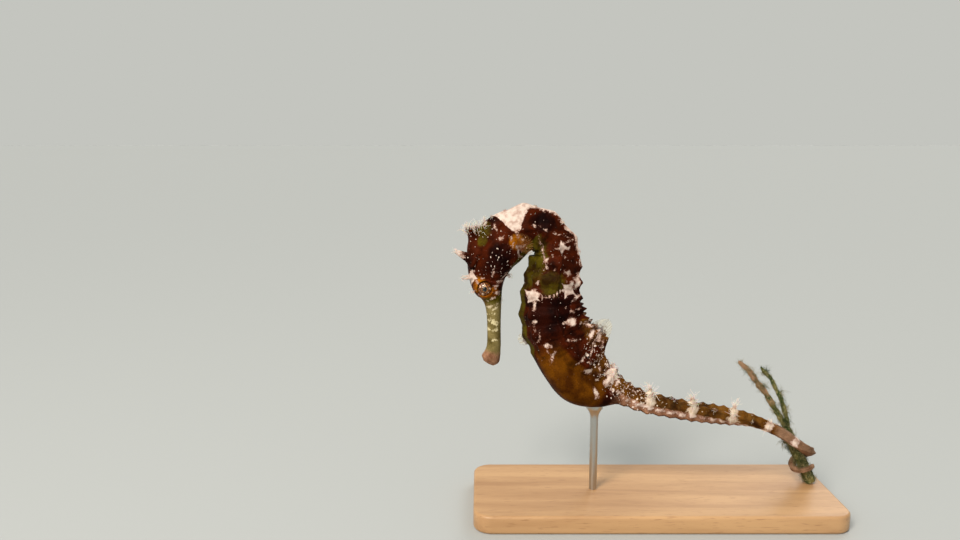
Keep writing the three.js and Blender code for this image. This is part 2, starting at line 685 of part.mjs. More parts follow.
add("pectoral_fin_left", pectoralFin(1), COLOURS.fin);
add("pectoral_fin_right", pectoralFin(-1), COLOURS.fin);
add("perch_stem", perch, COLOURS.stem, 0.9);
add("stand_rod_body", rodBody, COLOURS.rod, 0.35, 1);
add("stand_rod_perch", rodPerch, COLOURS.rod, 0.35, 1);
add("stand_base", standBase, COLOURS.base);

export default scene;
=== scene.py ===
import math
import random

import bmesh
import bpy
import numpy as np
from mathutils import Matrix, Vector, kdtree, noise


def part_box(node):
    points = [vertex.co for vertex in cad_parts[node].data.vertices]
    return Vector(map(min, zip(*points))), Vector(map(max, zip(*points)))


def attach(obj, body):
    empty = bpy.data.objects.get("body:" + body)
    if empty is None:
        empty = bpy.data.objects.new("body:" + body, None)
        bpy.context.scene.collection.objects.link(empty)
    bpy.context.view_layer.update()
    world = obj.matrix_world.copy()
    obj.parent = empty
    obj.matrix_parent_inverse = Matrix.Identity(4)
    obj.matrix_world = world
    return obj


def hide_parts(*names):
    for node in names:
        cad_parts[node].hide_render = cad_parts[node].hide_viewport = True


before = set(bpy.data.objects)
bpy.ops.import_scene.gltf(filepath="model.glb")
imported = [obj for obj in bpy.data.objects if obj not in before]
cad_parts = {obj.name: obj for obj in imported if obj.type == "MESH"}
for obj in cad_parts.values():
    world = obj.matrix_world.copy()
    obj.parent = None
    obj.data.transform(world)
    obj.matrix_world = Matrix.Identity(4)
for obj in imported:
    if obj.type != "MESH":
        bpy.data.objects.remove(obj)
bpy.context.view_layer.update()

# ---------------------------------------------------------------- room, lights and camera
# A pale seamless paper floor under large soft lamps, as in a museum's own studio. The camera looks at the
# animal's left side from a little above.

scene = bpy.context.scene


def linear(colour):
    """An sRGB hex colour as linear RGBA."""
    channels = [int(colour[i:i + 2], 16) / 255 for i in (1, 3, 5)]
    return [c / 12.92 if c <= 0.04045 else ((c + 0.055) / 1.055) ** 2.4 for c in channels] + [1.0]


def node(tree, kind, inputs=None, **settings):
    """Adds a node. An input is a value, a hex colour, or an output or a node that is linked to it."""
    made = tree.nodes.new(kind)
    for name, value in settings.items():
        setattr(made, name, value)
    for name, value in (inputs or {}).items():
        if isinstance(value, bpy.types.Node):
            value = value.outputs[0]
        if isinstance(value, bpy.types.NodeSocket):
            tree.links.new(value, made.inputs[name])
        elif isinstance(value, str) and value.startswith("#"):
            made.inputs[name].default_value = linear(value)
        else:
            made.inputs[name].default_value = value
    return made


def material(name, **surface):
    """A material whose one Principled shader has the given inputs. Returns it, its tree and the shader."""
    made = bpy.data.materials.new(name)
    made.use_nodes = True
    tree = made.node_tree
    tree.nodes.clear()
    shader = node(tree, "ShaderNodeBsdfPrincipled", surface)
    node(tree, "ShaderNodeOutputMaterial", {"Surface": shader})
    return made, tree, shader


def mesh_object(name, vertices, faces, finish, smooth=True):
    """A mesh object from points in metres."""
    mesh = bpy.data.meshes.new(name)
    mesh.from_pydata([tuple(v) for v in vertices], [], [tuple(f) for f in faces])
    mesh.update()
    mesh.materials.append(finish)
    if smooth:
        mesh.shade_smooth()
    made = bpy.data.objects.new(name, mesh)
    scene.collection.objects.link(made)
    return made


def hang_light(name, kind, power, colour, way, place=(0, 0, 0)):
    """A light at a place that shines one way. Returns its settings."""
    light = bpy.data.lights.new(name, kind)
    light.energy, light.color = power, linear(colour)[:3]
    lit = bpy.data.objects.new(name, light)
    lit.location = place
    lit.rotation_euler = Vector(way).to_track_quat("-Z", "Y").to_euler()
    scene.collection.objects.link(lit)
    return light


# Studio paper: uncoated and rolled, so it is dead matt, a pale grey with no sheen as it runs away.
paper, _, _ = material("seamless_paper", Roughness=1.0,
                       **{"Base Color": "#adb1b1", "Specular IOR Level": 0.15})
FLOOR_HALF = 12
floor_corners = [(x * FLOOR_HALF, y * FLOOR_HALF, 0) for x, y in ((-1, -1), (1, -1), (1, 1), (-1, 1))]
floor = mesh_object("floor", floor_corners, [(0, 1, 2, 3)], paper)

# The far floor is as bright as the air over it, so that no horizon shows.
world = bpy.data.worlds.new("studio")
world.use_nodes = True
world.node_tree.nodes["Background"].inputs["Color"].default_value = linear("#c4c5bf")
world.node_tree.nodes["Background"].inputs["Strength"].default_value = 1.0
scene.world = world

# Two large even panels high over the floor, in front and behind, and one soft lamp aimed at the trunk.
TRUNK, LAMP_PLACE = Vector((-0.02, 0, 0.055)), Vector((-0.3, -0.42, 0.3))
hang_light("front_panel", "SUN", 2.5, "#fff4e8", (0.42, 0.62, -0.78)).angle = math.radians(24)
hang_light("back_panel", "SUN", 0.9, "#ffffff", (-0.45, -0.66, -0.62)).angle = math.radians(30)
hang_light("key_lamp", "AREA", 1.1, "#fff6ea", TRUNK - LAMP_PLACE, LAMP_PLACE).size = 0.16

CAMERA_PLACE = (-0.04825, -0.22174, 0.1024)
VIEW_ANGLE, LOOK_DOWN = 60, 9  # degrees
lens = bpy.data.cameras.new("camera")
lens.sensor_width = 36
lens.angle = math.radians(VIEW_ANGLE)
lens.clip_start = 0.01
camera = bpy.data.objects.new("camera", lens)
camera.location = CAMERA_PLACE
camera.rotation_euler = (math.radians(90 - LOOK_DOWN), 0, 0)
scene.collection.objects.link(camera)
scene.camera = camera
scene.view_settings.view_transform = "Standard"

# ---------------------------------------------------------------- skin: backbone and girth
# One closed skin over the whole animal, thin and tight over a case of bony rings. It follows a backbone
# from the mouth to the tip of the tail. Lengths are in millimetres, places are distances from the mouth.

MM = 0.001
MOUTH = (-45.9, 0, 41.6)
HEAD_END = 38.6
TRUNK_END = 88
STEM_CROSSING = 150.5
TAIL_TIP = 176
BEARINGS = [  # degrees above +X in the middle plane
    (0, 62), (6, 90), (21, 92), (28, 77), (38.6, 26), (53.8, -99), (63, -95), (74.5, -66), (82.5, -42),
    (97.5, -34), (108.5, -13), (124.5, -7), (133, -10), (142, -24), (150.5, -38),
]
GIRTH = [  # half sizes to the back, to the belly and to the side
    (0, 1.7, 1.7, 1.55), (1.1, 2.5, 2.5, 2.3), (2.6, 2.3, 2.3, 2.1), (4.5, 1.95, 1.95, 1.8),
    (11, 1.85, 1.85, 1.7), (15, 2.1, 2.0, 1.9), (17.6, 2.9, 2.15, 2.4), (20.4, 5.3, 2.4, 3.3),
    (24, 6.7, 3.2, 4.2), (27.5, 7.7, 4.7, 4.8), (31, 8.5, 5.9, 4.9), (34.5, 8.1, 6.2, 4.6),
    (38.6, 7.1, 6.0, 4.4), (45.5, 5.8, 6.0, 5.0), (50, 5.5, 6.6, 5.6), (54, 6.2, 7.4, 6.1),
    (59.5, 7.0, 8.1, 6.6), (65.5, 7.7, 8.7, 7.0), (73, 8.6, 9.3, 7.2), (80, 9.4, 8.0, 6.5),
    (84.5, 9.7, 6.5, 5.3), (87, 7.4, 5.5, 4.5), (89, 5.2, 4.7, 4.0), (93.5, 3.9, 3.6, 3.2),
    (100.5, 2.8, 2.7, 2.5), (119.5, 2.3, 2.2, 2.0), (143, 2.0, 1.95, 1.7), (151, 1.75, 1.7, 1.5),
    (167, 0.95, 0.9, 0.85), (176, 0.45, 0.45, 0.45),
]
POUCH = [  # depth of its floor below the backbone and its half width
    (74.5, 8.9, 2.6), (77, 9.0, 5.0), (80.5, 9.7, 6.6), (84.5, 10.8, 7.2), (88.5, 10.9, 6.9),
    (92.5, 9.4, 5.9), (96.5, 6.6, 4.3), (99.5, 4.4, 2.9),
]
TRUNK_RINGS = 11
TAIL_RINGS = 36
TAIL_RING_TAPER = 0.974  # length of a ring over the length of the one before it
CREASE_FROM, CREASE_TO = 85, 96  # the trunk's seven ridges become the tail's four
TWIST_FROM = 115  # the tail turns its back to the front from here to the crossing
STEM_RADIUS = 1.65
STEM_BEARING = -63
STEM_GAP = 0.3  # between the tail and the stem
WRAP_STEEP, WRAP_FLAT = 61, 11  # slope of the tail along the stem, in degrees
WRAP_EASE = (2.5, 12)  # distances past the crossing between which it goes from steep to flat


def smoothstep(at, low, high):
    t = np.clip((np.asarray(at, float) - low) / (high - low), 0, 1)
    return t * t * (3 - 2 * t)


def window(at, rise, full, fade, end):
    """1 from one place to another, eased to 0 on both sides."""
    return smoothstep(at, rise, full) * (1 - smoothstep(at, fade, end))


def smooth_table(table, at):
    """Columns of a table in smooth steps, with the slope at each row taken from its neighbours."""
    rows = np.array(table, float)
    x = np.clip(at, rows[0, 0], rows[-1, 0])
    high = np.clip(np.searchsorted(rows[:, 0], x), 1, len(rows) - 1)
    number, last = np.arange(len(rows)), len(rows) - 1
    before, after = np.maximum(number - 1, 0), np.minimum(number + 1, last)
    slopes = (rows[after] - rows[before]) / (rows[after, :1] - rows[before, :1])
    span = (rows[high, 0] - rows[high - 1, 0])[:, None]
    t = (x[:, None] - rows[high - 1, :1]) / span
    rise = rows[high] - rows[high - 1]
    a = slopes[high - 1] * span - rise
    b = rise - slopes[high] * span
    return (rows[high - 1] + rise * t + t * (1 - t) * ((1 - t) * a + t * b))[:, 1:]


def lay_backbone(step=0.2):
    """The backbone as rows of place, point, ahead and back: in the middle plane, then round the stem."""
    rows = []
    places = np.arange(0, TAIL_TIP + 2 * step, step)
    bearings = np.radians(np.interp(places, *zip(*BEARINGS)))
    bellies = smooth_table(GIRTH, places)[:, 1] + STEM_RADIUS + STEM_GAP
    left = np.array((0, -1, 0))
    down_stem = np.array((math.cos(math.radians(STEM_BEARING)), 0, math.sin(math.radians(STEM_BEARING))))
    stem_side = np.array((-down_stem[2], 0, down_stem[0]))
    point = np.array(MOUTH, float)
    count = int(np.searchsorted(places, STEM_CROSSING - 1e-6))
    for at, bearing in zip(places[:count], bearings):
        ahead = np.array((math.cos(bearing), 0, math.sin(bearing)))
        twist = math.pi / 2 * float(smoothstep(at, TWIST_FROM, STEM_CROSSING))
        up = np.array((-math.sin(bearing), 0, math.cos(bearing)))
        rows.append(np.concatenate([point, ahead, up * math.cos(twist) + left * math.sin(twist)]))
        point = point + ahead * step
    crossing = point - left * bellies[count]
    turn = down = 0.0
    for at, reach in zip(places[count:], bellies[count:]):
        ease = float(smoothstep(at - STEM_CROSSING, *WRAP_EASE))
        slope = math.radians(WRAP_STEEP + (WRAP_FLAT - WRAP_STEEP) * ease)
        up = left * math.cos(turn) + stem_side * math.sin(turn)
        round_stem = stem_side * math.cos(turn) - left * math.sin(turn)
        ahead = round_stem * math.cos(slope) + down_stem * math.sin(slope)
        rows.append(np.concatenate([crossing + down_stem * down + up * reach, ahead, up]))
        turn += math.cos(slope) * step / reach
        down += math.sin(slope) * step
    return places, np.array(rows), crossing, down_stem, stem_side


places, backbone, crossing, down_stem, stem_side = lay_backbone()


def frame_at(at):
    """Point, ahead, back and side of the backbone at each of some places."""
    at = np.atleast_1d(np.asarray(at, float))
    parts = np.stack([np.interp(at, places, column) for column in backbone.T], 1)
    point, ahead, back = parts[:, :3], parts[:, 3:6], parts[:, 6:]
    ahead = ahead / np.linalg.norm(ahead, axis=1)[:, None]
    side = np.cross(ahead, back)
    side = side / np.linalg.norm(side, axis=1)[:, None]
    return point, ahead, np.cross(side, ahead), side


def on_body(at, back, side):
    """Points in metres, from places on the backbone, heights above it and distances to the left."""
    point, _, up, left = frame_at(at)
    back, side = (np.atleast_1d(np.asarray(v, float)) for v in (back, side))
    return (point + up * back[:, None] + left * side[:, None]) * MM


ring_starts = [HEAD_END + (TRUNK_END - HEAD_END) * i / TRUNK_RINGS for i in range(TRUNK_RINGS)]
taper_sum = (1 - TAIL_RING_TAPER ** TAIL_RINGS) / (1 - TAIL_RING_TAPER)
for i in range(TAIL_RINGS + 1):
    before = (1 - TAIL_RING_TAPER ** i) / (1 - TAIL_RING_TAPER)
    ring_starts.append(TRUNK_END + (TAIL_TIP - TRUNK_END) * before / taper_sum)
ring_starts = np.array(ring_starts)


def ring_of(at):
    """Number of rings before a place, with the part of the ring that it lies in."""
    return np.interp(at, ring_starts, np.arange(len(ring_starts)))


# ---------------------------------------------------------------- skin: outline and relief
# On the trunk seven ridges run along the animal and on the tail four. A bony ring crosses them every few
# millimetres, with a knob or spine at each crossing and a shallow plate between. The pouch is smooth.

CORNERS = np.array([  # turn from the back (0) to the belly (0.5), then shares of the half sizes
    # turn, trunk height and width, tail height and width
    (0.0, 0.95, 0.0, 0.84, 0.0),
    (0.06, 1.0, 0.42, 1.0, 0.66),
    (0.135, 0.58, 0.76, 0.5, 0.84),
    (0.235, 0.1, 1.0, 0.02, 0.93),
    (0.33, -0.34, 0.88, -0.5, 0.84),
    (0.395, -0.68, 0.7, -1.0, 0.66),
    (0.455, -0.86, 0.34, -0.92, 0.33),
    (0.5, -1.0, 0.0, -0.84, 0.0),
])
UPPER, SIDE, LOWER, KEEL = 0.06, 0.235, 0.395, 0.5  # turns of the ridges
SPINES = {UPPER: 1.35, SIDE: 0.8, LOWER: 0.7, KEEL: 0.25}  # their heights on a full ring
RIDGE_HEIGHT, RING_HEIGHT, GROOVE_DEPTH, PLATE_DEPTH = 0.3, 0.26, 0.22, 0.2
RING_WIDTH, GROOVE_WIDTH, KNOB_LENGTH = 0.2, 0.09, 0.34  # shares of a ring's length
RIDGE_WIDTH, KNOB_WIDTH = 0.55, 1.15  # millimetres
CORNER_ROUNDING = (-0.018, -0.006, 0.006, 0.018)  # turns either side that the outline is averaged over
HEAD_PINCH = 0.24  # how much narrower the head is at its back than an ellipse
RINGS_FROM, RINGS_FULL = 36.5, 41  # the head's outline turns into the ringed trunk's
EYE = {"at": 21.4, "back": 2.3, "side": 2.35, "radius": 2.25, "opening": 1.95}
ORBIT = {"side": 1.6, "radius": 2.95}
GILL_COVER = {"at": 30.2, "back": -0.5, "length": 6.3, "depth": 4.9, "height": 0.5, "groove": 0.22}
GILL_FAN = {"at": 24.6, "back": 1.6, "rays": 24, "height": 0.09}
GILL_OPENING = {"at": 35.9, "back": 4.1, "depth": 0.7, "width": 0.6}
BROW = {"at": 22.5, "back": 5.1, "slope": 0.45, "height": 0.5, "width": 0.6}
CHEEK = {"at": 21.5, "back": -0.9, "slope": 0.16, "height": 0.28, "width": 0.45}
EYE_FOLDS = {"count": 13, "radius": 2.95, "height": 0.07, "width": 0.4}
LID_RIM = {"out": 0.3, "height": 0.16, "width": 0.24}
SOFT_POUCH = POUCH[:-1] + [(99.5, 3.6, 2.5), (103, 2.4, 1.6)]


def fold(turn):
    """The turn on the left half, and 1 on the left or -1 on the right."""
    turn = turn % 1
    return 0.5 - np.abs(0.5 - turn), np.where(turn <= 0.5, 1.0, -1.0)


def union(a, b, blend):
    """The larger of two sizes, with the corner between them filled over a width."""
    near = np.maximum(blend - np.abs(a - b), 0) / blend
    return np.maximum(a, b) + near * near * blend / 4


def bump(distance, width):
    return np.exp(-(distance / width) ** 2)


def way_round(girth):
    """Length of the way round the body, from its half sizes."""
    return 2 * np.pi * np.sqrt((((girth[:, 0] + girth[:, 1]) / 2) ** 2 + girth[:, 2] ** 2) / 2)


def ringed_outline(at, half, girth):
    """Height and width of the ringed body, with its ridges rounded."""
    tail = smoothstep(at, CREASE_FROM, CREASE_TO)
    height, width = np.zeros_like(at), np.zeros_like(at)
    for shift in CORNER_ROUNDING:
        turn = np.abs(half + shift)
        across = np.where((half + shift < 0) | (turn > 0.5), -1.0, 1.0)
        turn = np.where(turn > 0.5, 1 - turn, turn)
        shares = [np.interp(turn, CORNERS[:, 0], CORNERS[:, k]) for k in range(1, 5)]
        height += (shares[0] + (shares[2] - shares[0]) * tail) / 4
        width += across * (shares[1] + (shares[3] - shares[1]) * tail) / 4
    return height * np.where(height > 0, girth[:, 0], girth[:, 1]), width * girth[:, 2]


def head_outline(at, half, girth):
    """Height and width of the snout and head, egg-shaped with the narrow end at the back."""
    up, out = np.cos(2 * np.pi * half), np.sin(2 * np.pi * half)
    pinch = HEAD_PINCH * smoothstep(at, 18, 26)
    height = np.where(up > 0, girth[:, 0], girth[:, 1]) * up
    return height, girth[:, 2] * out * (1 - pinch * np.maximum(up, 0) ** 1.5)


def pouch_reach(at, up, out):
    """Distance from the backbone to the pouch's outside, in the direction up and out."""
    table = smooth_table(SOFT_POUCH, at)
    middle, depth, wide = -(table[:, 0] + 1) / 2, (table[:, 0] - 1) / 2, table[:, 1]
    a = (up / depth) ** 2 + (out / wide) ** 2
    b = -2 * up * middle / depth ** 2
    c = (middle / depth) ** 2 - 1
    inside = b * b - 4 * a * c
    reach = np.where(inside > 0, (-b + np.sqrt(np.maximum(inside, 0))) / (2 * a), 0)
    return np.maximum(reach, 0) * smoothstep(at, 73, 76) * (1 - smoothstep(at, 101, 103))


def spine_share(number):
    """Length of the spines on a ring, as a share of a tall one."""
    tail_ring = number - TRUNK_RINGS
    trunk = np.where(number % 2 == 0, 1.0, 0.7) * np.interp(number, (0, 4, 6), (0.4, 0.55, 1))
    tail = np.where(tail_ring % 4 == 1, 1.0, 0.3) * np.interp(tail_ring, (17, 21, 30), (1, 0.55, 0.15))
    return np.where(tail_ring < 0, trunk, tail)


def bony_relief(at, half, girth):
    """Rise of the ringed skin over its smooth outline."""
    ring = ring_of(at)
    number = np.clip(np.floor(ring), 0, TRUNK_RINGS + TAIL_RINGS - 1).astype(int)
    length = np.diff(ring_starts)[number]
    along = (ring - number - 0.5) * length
    tail = smoothstep(at, CREASE_FROM, CREASE_TO)
    stout = np.minimum(1, girth[:, 2] / 5 + tail * 0.3)
    round_body = way_round(girth)
    band = bump(along, RING_WIDTH * length)
    groove = bump(np.abs(along) - length / 2, GROOVE_WIDTH * length)
    ridges, knobs = np.zeros_like(at), np.zeros_like(at)
    for ridge, spine in SPINES.items():
        there = 1 - tail if ridge == SIDE else 1.0
        aside = (half - ridge) * round_body
        ridges = np.maximum(ridges, bump(aside, RIDGE_WIDTH * stout) * there * (0.3 if ridge == KEEL else 1))
        reach = np.sqrt((along / (KNOB_LENGTH * length)) ** 2 + (aside / (KNOB_WIDTH * stout)) ** 2)
        knob = np.maximum(1 - reach, 0) ** 1.35 * there
        spine = spine * (1 - 0.6 * tail) if ridge == LOWER else spine
        knobs = np.maximum(knobs, knob * spine * spine_share(number))
    net = 1 - (1 - ridges) * (1 - 0.8 * band)
    rise = RIDGE_HEIGHT * ridges + RING_HEIGHT * band - GROOVE_DEPTH * groove - PLATE_DEPTH * (1 - net)
    return (stout * rise + stout * knobs) * (1 - 0.8 * smoothstep(at, 126, 146))


def eye_distance(at, height):
    """Distance from the axis of the eye, seen from the side."""
    return np.hypot(at - EYE["at"], height - EYE["back"])


def shape(at, turn):
    """Height and width of the skin at places and turns."""
    half, side = fold(turn)
    girth = smooth_table(GIRTH, at)
    body = smoothstep(at, RINGS_FROM, RINGS_FULL)
    head_height, head_width = head_outline(at, half, girth)
    ring_height, ring_width = ringed_outline(at, half, girth)
    height = head_height + (ring_height - head_height) * body
    width = head_width + (ring_width - head_width) * body
    reach = np.hypot(height, width)
    up, out = height / reach, width / reach

    # Pouch.
    bag = pouch_reach(at, up, out)
    pouch = smoothstep(bag - reach, -0.5, 0.5)
    reach = union(reach, bag, 1.2)
    reach = reach + bony_relief(at, half, girth) * smoothstep(at, 37.5, 40) * (1 - pouch)

    # Round swelling that carries the eye.
    off = at - EYE["at"]
    circle = ORBIT["radius"] ** 2 - off ** 2
    toward = up * EYE["back"] + out * ORBIT["side"]
    inside = toward ** 2 - EYE["back"] ** 2 - ORBIT["side"] ** 2 + circle
    orbit = np.where(inside > 0, toward + np.sqrt(np.maximum(inside, 0)), 0)
    reach = np.where(np.abs(off) < ORBIT["radius"] + 1, union(reach, orbit, 0.9), reach)
    height, width = reach * up, reach * out

    # Gill cover, a raised shield with fine rays, and the gill opening behind its upper corner.
    u = (at - GILL_COVER["at"]) / GILL_COVER["length"]
    v = (height - GILL_COVER["back"]) / GILL_COVER["depth"]
    shield = (np.abs(u) ** 2.5 + np.abs(v) ** 2.5) ** 0.4
    plate = 1 - smoothstep(shield, 0.84, 1.0)
    fan_at, fan_up = at - GILL_FAN["at"], height - GILL_FAN["back"]
    rays = np.cos(np.arctan2(fan_up, fan_at) * GILL_FAN["rays"])
    rays = rays * smoothstep(np.hypot(fan_at, fan_up), 1.5, 5)
    swell = GILL_COVER["height"] * plate - GILL_COVER["groove"] * bump(shield - 1.05, 0.05)
    opening = bump(np.hypot(at - GILL_OPENING["at"], height - GILL_OPENING["back"]), GILL_OPENING["width"])
    swell = swell + GILL_FAN["height"] * rays * plate - GILL_OPENING["depth"] * opening
    # Brow ridge from the eye up to the crown, cheek ridge below the eye and folds round the eye.
    for ridge, ends in ((BROW, (21.5, 23.5, 27, 29.5)), (CHEEK, (17, 18.5, 22.5, 24.5))):
        off = np.abs(height - (ridge["back"] + (at - ridge["at"]) * ridge["slope"]))
        swell = swell + ridge["height"] * bump(off, ridge["width"]) * window(at, *ends)
    lid = eye_distance(at, height)
    sweep = np.arctan2(height - EYE["back"], at - EYE["at"])
    folds = np.cos(sweep * EYE_FOLDS["count"]) * bump(lid - EYE_FOLDS["radius"], EYE_FOLDS["width"])
    swell = swell + EYE_FOLDS["height"] * folds
    swell = swell + LID_RIM["height"] * bump(lid - EYE["opening"] - LID_RIM["out"], LID_RIM["width"])
    side_on = smoothstep(out, 0.3, 0.6)
    width = width + swell * side_on * (1 - smoothstep(at, 37, 39))
    # Socket: inside the lids the skin lies under the ball of the eye.
    ball = EYE["side"] + np.sqrt(np.maximum(EYE["radius"] ** 2 - lid ** 2, 0)) - 1.0
    open_lids = 1 - smoothstep(lid, EYE["opening"] - 0.08, EYE["opening"] + 0.1)
    width = width + (np.minimum(ball, width) - width) * (open_lids * smoothstep(out, 0.35, 0.5))
    return height, width * side


# Rows of the skin: inside the mouth, then along the body, closer where it has finer forms.
rows = [(1.7, 0.2), (1.35, 0.42), (0.8, 0.58), (0.3, 0.68), (0.05, 0.8), (-0.05, 0.92)]
MOUTH_ROWS = len(rows)
SPACING = [  # from, to and distance between rows
    (0, 3, 0.17), (3, 15, 0.34), (15, 18.5, 0.24), (18.5, 24.6, 0.14), (24.6, HEAD_END, 0.25),
]
TRUNK_RING_ROWS, TAIL_RING_ROWS = 18, 11
for low, high, space in SPACING:
    count = round((high - low) / space)
    rows += [(low + (high - low) * i / count, 1) for i in range(count)]
for ring in range(TRUNK_RINGS + TAIL_RINGS):
    count = TRUNK_RING_ROWS if ring < TRUNK_RINGS else TAIL_RING_ROWS
    start, stop = ring_starts[ring:ring + 2]
    rows += [(start + (stop - start) * i / count, 1) for i in range(count)]
rows += [(TAIL_TIP, 1), (TAIL_TIP + 0.2, 0.6)]
FINE, COARSE = 160, 80  # points round the head and trunk, and round the snout and tail
SNOUT_COARSE_TO, TAIL_COARSE_FROM = 15, 93

row_at, row_turn, row_scale, firsts, counts = [], [], [], [], []
for at, scale in rows:
    count = FINE if SNOUT_COARSE_TO <= at < TAIL_COARSE_FROM else COARSE
    firsts.append(len(row_at))
    counts.append(count)
    row_at += [at] * count
    row_turn += [i / count for i in range(count)]
    row_scale += [scale] * count
row_at, row_turn, row_scale = np.array(row_at), np.array(row_turn), np.array(row_scale)
height, width = shape(np.maximum(row_at, 0) * (row_scale >= 1), row_turn)
height, width = height * row_scale, width * row_scale
late = row_at > TAIL_TIP - 1
height[late], width[late] = (values * row_scale[late] for values in shape(row_at[late], row_turn[late]))

# Where the neck folds, the skin on the inside of the bend crowds up and never passes through itself.
CROWD_FROM, CROWD_ROOM = 0.7, 0.22  # shares of the bend's radius
_, ahead_before, _, _ = frame_at(row_at - 1.5)
_, ahead_after, _, _ = frame_at(row_at + 1.5)
_, _, back_axis, side_axis = frame_at(row_at)
bend = (ahead_after - ahead_before) / 3
inward = height * (bend * back_axis).sum(1) + width * (bend * side_axis).sum(1)
crowded = CROWD_FROM + CROWD_ROOM * (1 - np.exp(-(inward - CROWD_FROM) / CROWD_ROOM))
squeeze = np.where(inward > CROWD_FROM, crowded / np.maximum(inward, 1e-6), 1)
height, width = height * squeeze, width * squeeze
skin_points = on_body(row_at, height, width)

faces = []
for a, b, n, m in zip(firsts, firsts[1:], counts, counts[1:]):  # first point and number of two rows
    for i in range(min(n, m)):
        j = (i + 1) % min(n, m)
        if n == m:
            faces.append((a + j, b + j, b + i, a + i))
            continue
        middle, far = 2 * i + 1, (2 * i + 2) % max(n, m)
        if m > n:
            b_middle = b + middle
            faces += [(b_middle, b + 2 * i, a + i), (a + j, b_middle, a + i), (b + far, b_middle, a + j)]
        else:
            a_middle = a + middle
            faces += [(a_middle, b + i, a + 2 * i), (b + j, b + i, a_middle), (a + far, b + j, a_middle)]
throat, tip = len(skin_points), len(skin_points) + 1
skin_points = np.vstack([skin_points, on_body(1.9, 0, 0), on_body(TAIL_TIP + 0.35, 0, 0)])
for i in range(counts[0]):
    faces.append((throat, firsts[0] + (i + 1) % counts[0], firsts[0] + i))
for i in range(counts[-1]):
    faces.append((tip, firsts[-1] + i, firsts[-1] + (i + 1) % counts[-1]))


# ---------------------------------------------------------------- skin: coronet and long spines
# The crown on the nape is a hollow bony lobe with blunt points. Round it, over the eyes and on the cheeks
# stand the longest spines. All are made closed and joined into the one skin.

CORONET = {"at": 29, "back": 5.0, "lean": 6, "points": 5, "floor": 5.6}
CORONET_PROFILE = [  # height and radius, from the foot, up the outside and down into the hollow
    (0.0, 3.9), (1.2, 3.7), (2.4, 3.3), (3.6, 2.9), (4.8, 2.6), (5.8, 2.6), (6.5, 2.65), (6.8, 2.35),
    (6.6, 1.9), (6.1, 1.4), (5.7, 0.8),
]
# Place, height over the backbone, distance to the side, tilt forwards, tilt outwards, length, radius, and
# share of the length where the spine turns pale.
LONG_SPINES = [
    (23.9, 5.2, 1.3, 18, 18, 3.6, 0.9, 0.1),  # brow
    (21.2, 4.3, 1.9, 30, 34, 1.8, 0.6, 0.4),  # over the eye
    (27.7, 6.6, 1.3, -6, 14, 5.4, 1.95, 0.56),  # in front of the crown
    (18.9, -1.3, 1.4, 120, 45, 2.2, 0.6, 0.4),  # cheek
    (25.4, -3.0, 2.0, 160, 30, 1.9, 0.7, 0.3),  # corner of the gill cover
    (34.2, 7.4, 0.9, -20, 16, 1.3, 0.7, 0.1),  # nape
]
SPINE_BEND = 0.125  # how far a tip is bent back, as a share of the length


def closed_tube(rings, bottom, top):
    """A closed tube through rings of equal size, with a point at each end: its points, its faces and each
    point's share of the length and of the way round."""
    count = len(rings[0])
    points = np.vstack([*rings, [bottom, top]])
    along = np.append(np.repeat(np.linspace(0, 1, len(rings)), count), (0, 1))
    around = np.append(np.tile(np.arange(count) / count, len(rings)), (0.5, 0.5))
    faces = []
    for row in range(len(rings)):
        for i in range(count):
            a, b = row * count + i, row * count + (i + 1) % count
            if row == 0:
                faces.append((len(points) - 2, b, a))
            if row == len(rings) - 1:
                faces.append((len(points) - 1, a, b))
            else:
                faces.append((a, b, b + count, a + count))
    return points, faces, along, around


def coronet():
    """The crown in metres: five lobes that spread into points round a hollow."""
    point, _, up, side = (v[0] for v in frame_at(CORONET["at"]))
    lean = math.radians(CORONET["lean"])
    upright = np.array((-math.sin(lean), 0, math.cos(lean)))
    forward = np.array((-math.cos(lean), 0, -math.sin(lean)))
    root = point + up * CORONET["back"]
    profile = np.array(CORONET_PROFILE)
    turns = np.linspace(0, 2 * np.pi, 60, endpoint=False)
    rings = []
    for k in np.linspace(0, len(profile) - 1, 41):
        rise, radius = (np.interp(k, np.arange(len(profile)), column) for column in profile.T)
        star = (0.5 + 0.5 * np.cos(CORONET["points"] * (turns + 0.3))) ** 1.6
        spread = smoothstep(rise, 1.5, 6.5) * smoothstep(k, 1, 6) * (1 - 0.75 * smoothstep(k, 7, 9))
        lumps = [noise.noise(Vector((math.cos(a) * 1.6, math.sin(a) * 1.6, rise * 0.35))) for a in turns]
        reach = radius * (0.9 + 0.34 * spread * star + 0.16 * np.array(lumps))
        lift = rise + 0.9 * spread * star * smoothstep(k, 4, 7.5) * (1 - smoothstep(k, 8, 9.6))
        across = np.outer(np.cos(turns) * reach, forward) + np.outer(np.sin(turns) * reach * 0.92, side)
        rings.append(root + np.outer(lift, upright) + across)
    return closed_tube([ring * MM for ring in rings], root * MM, (root + upright * CORONET["floor"]) * MM)


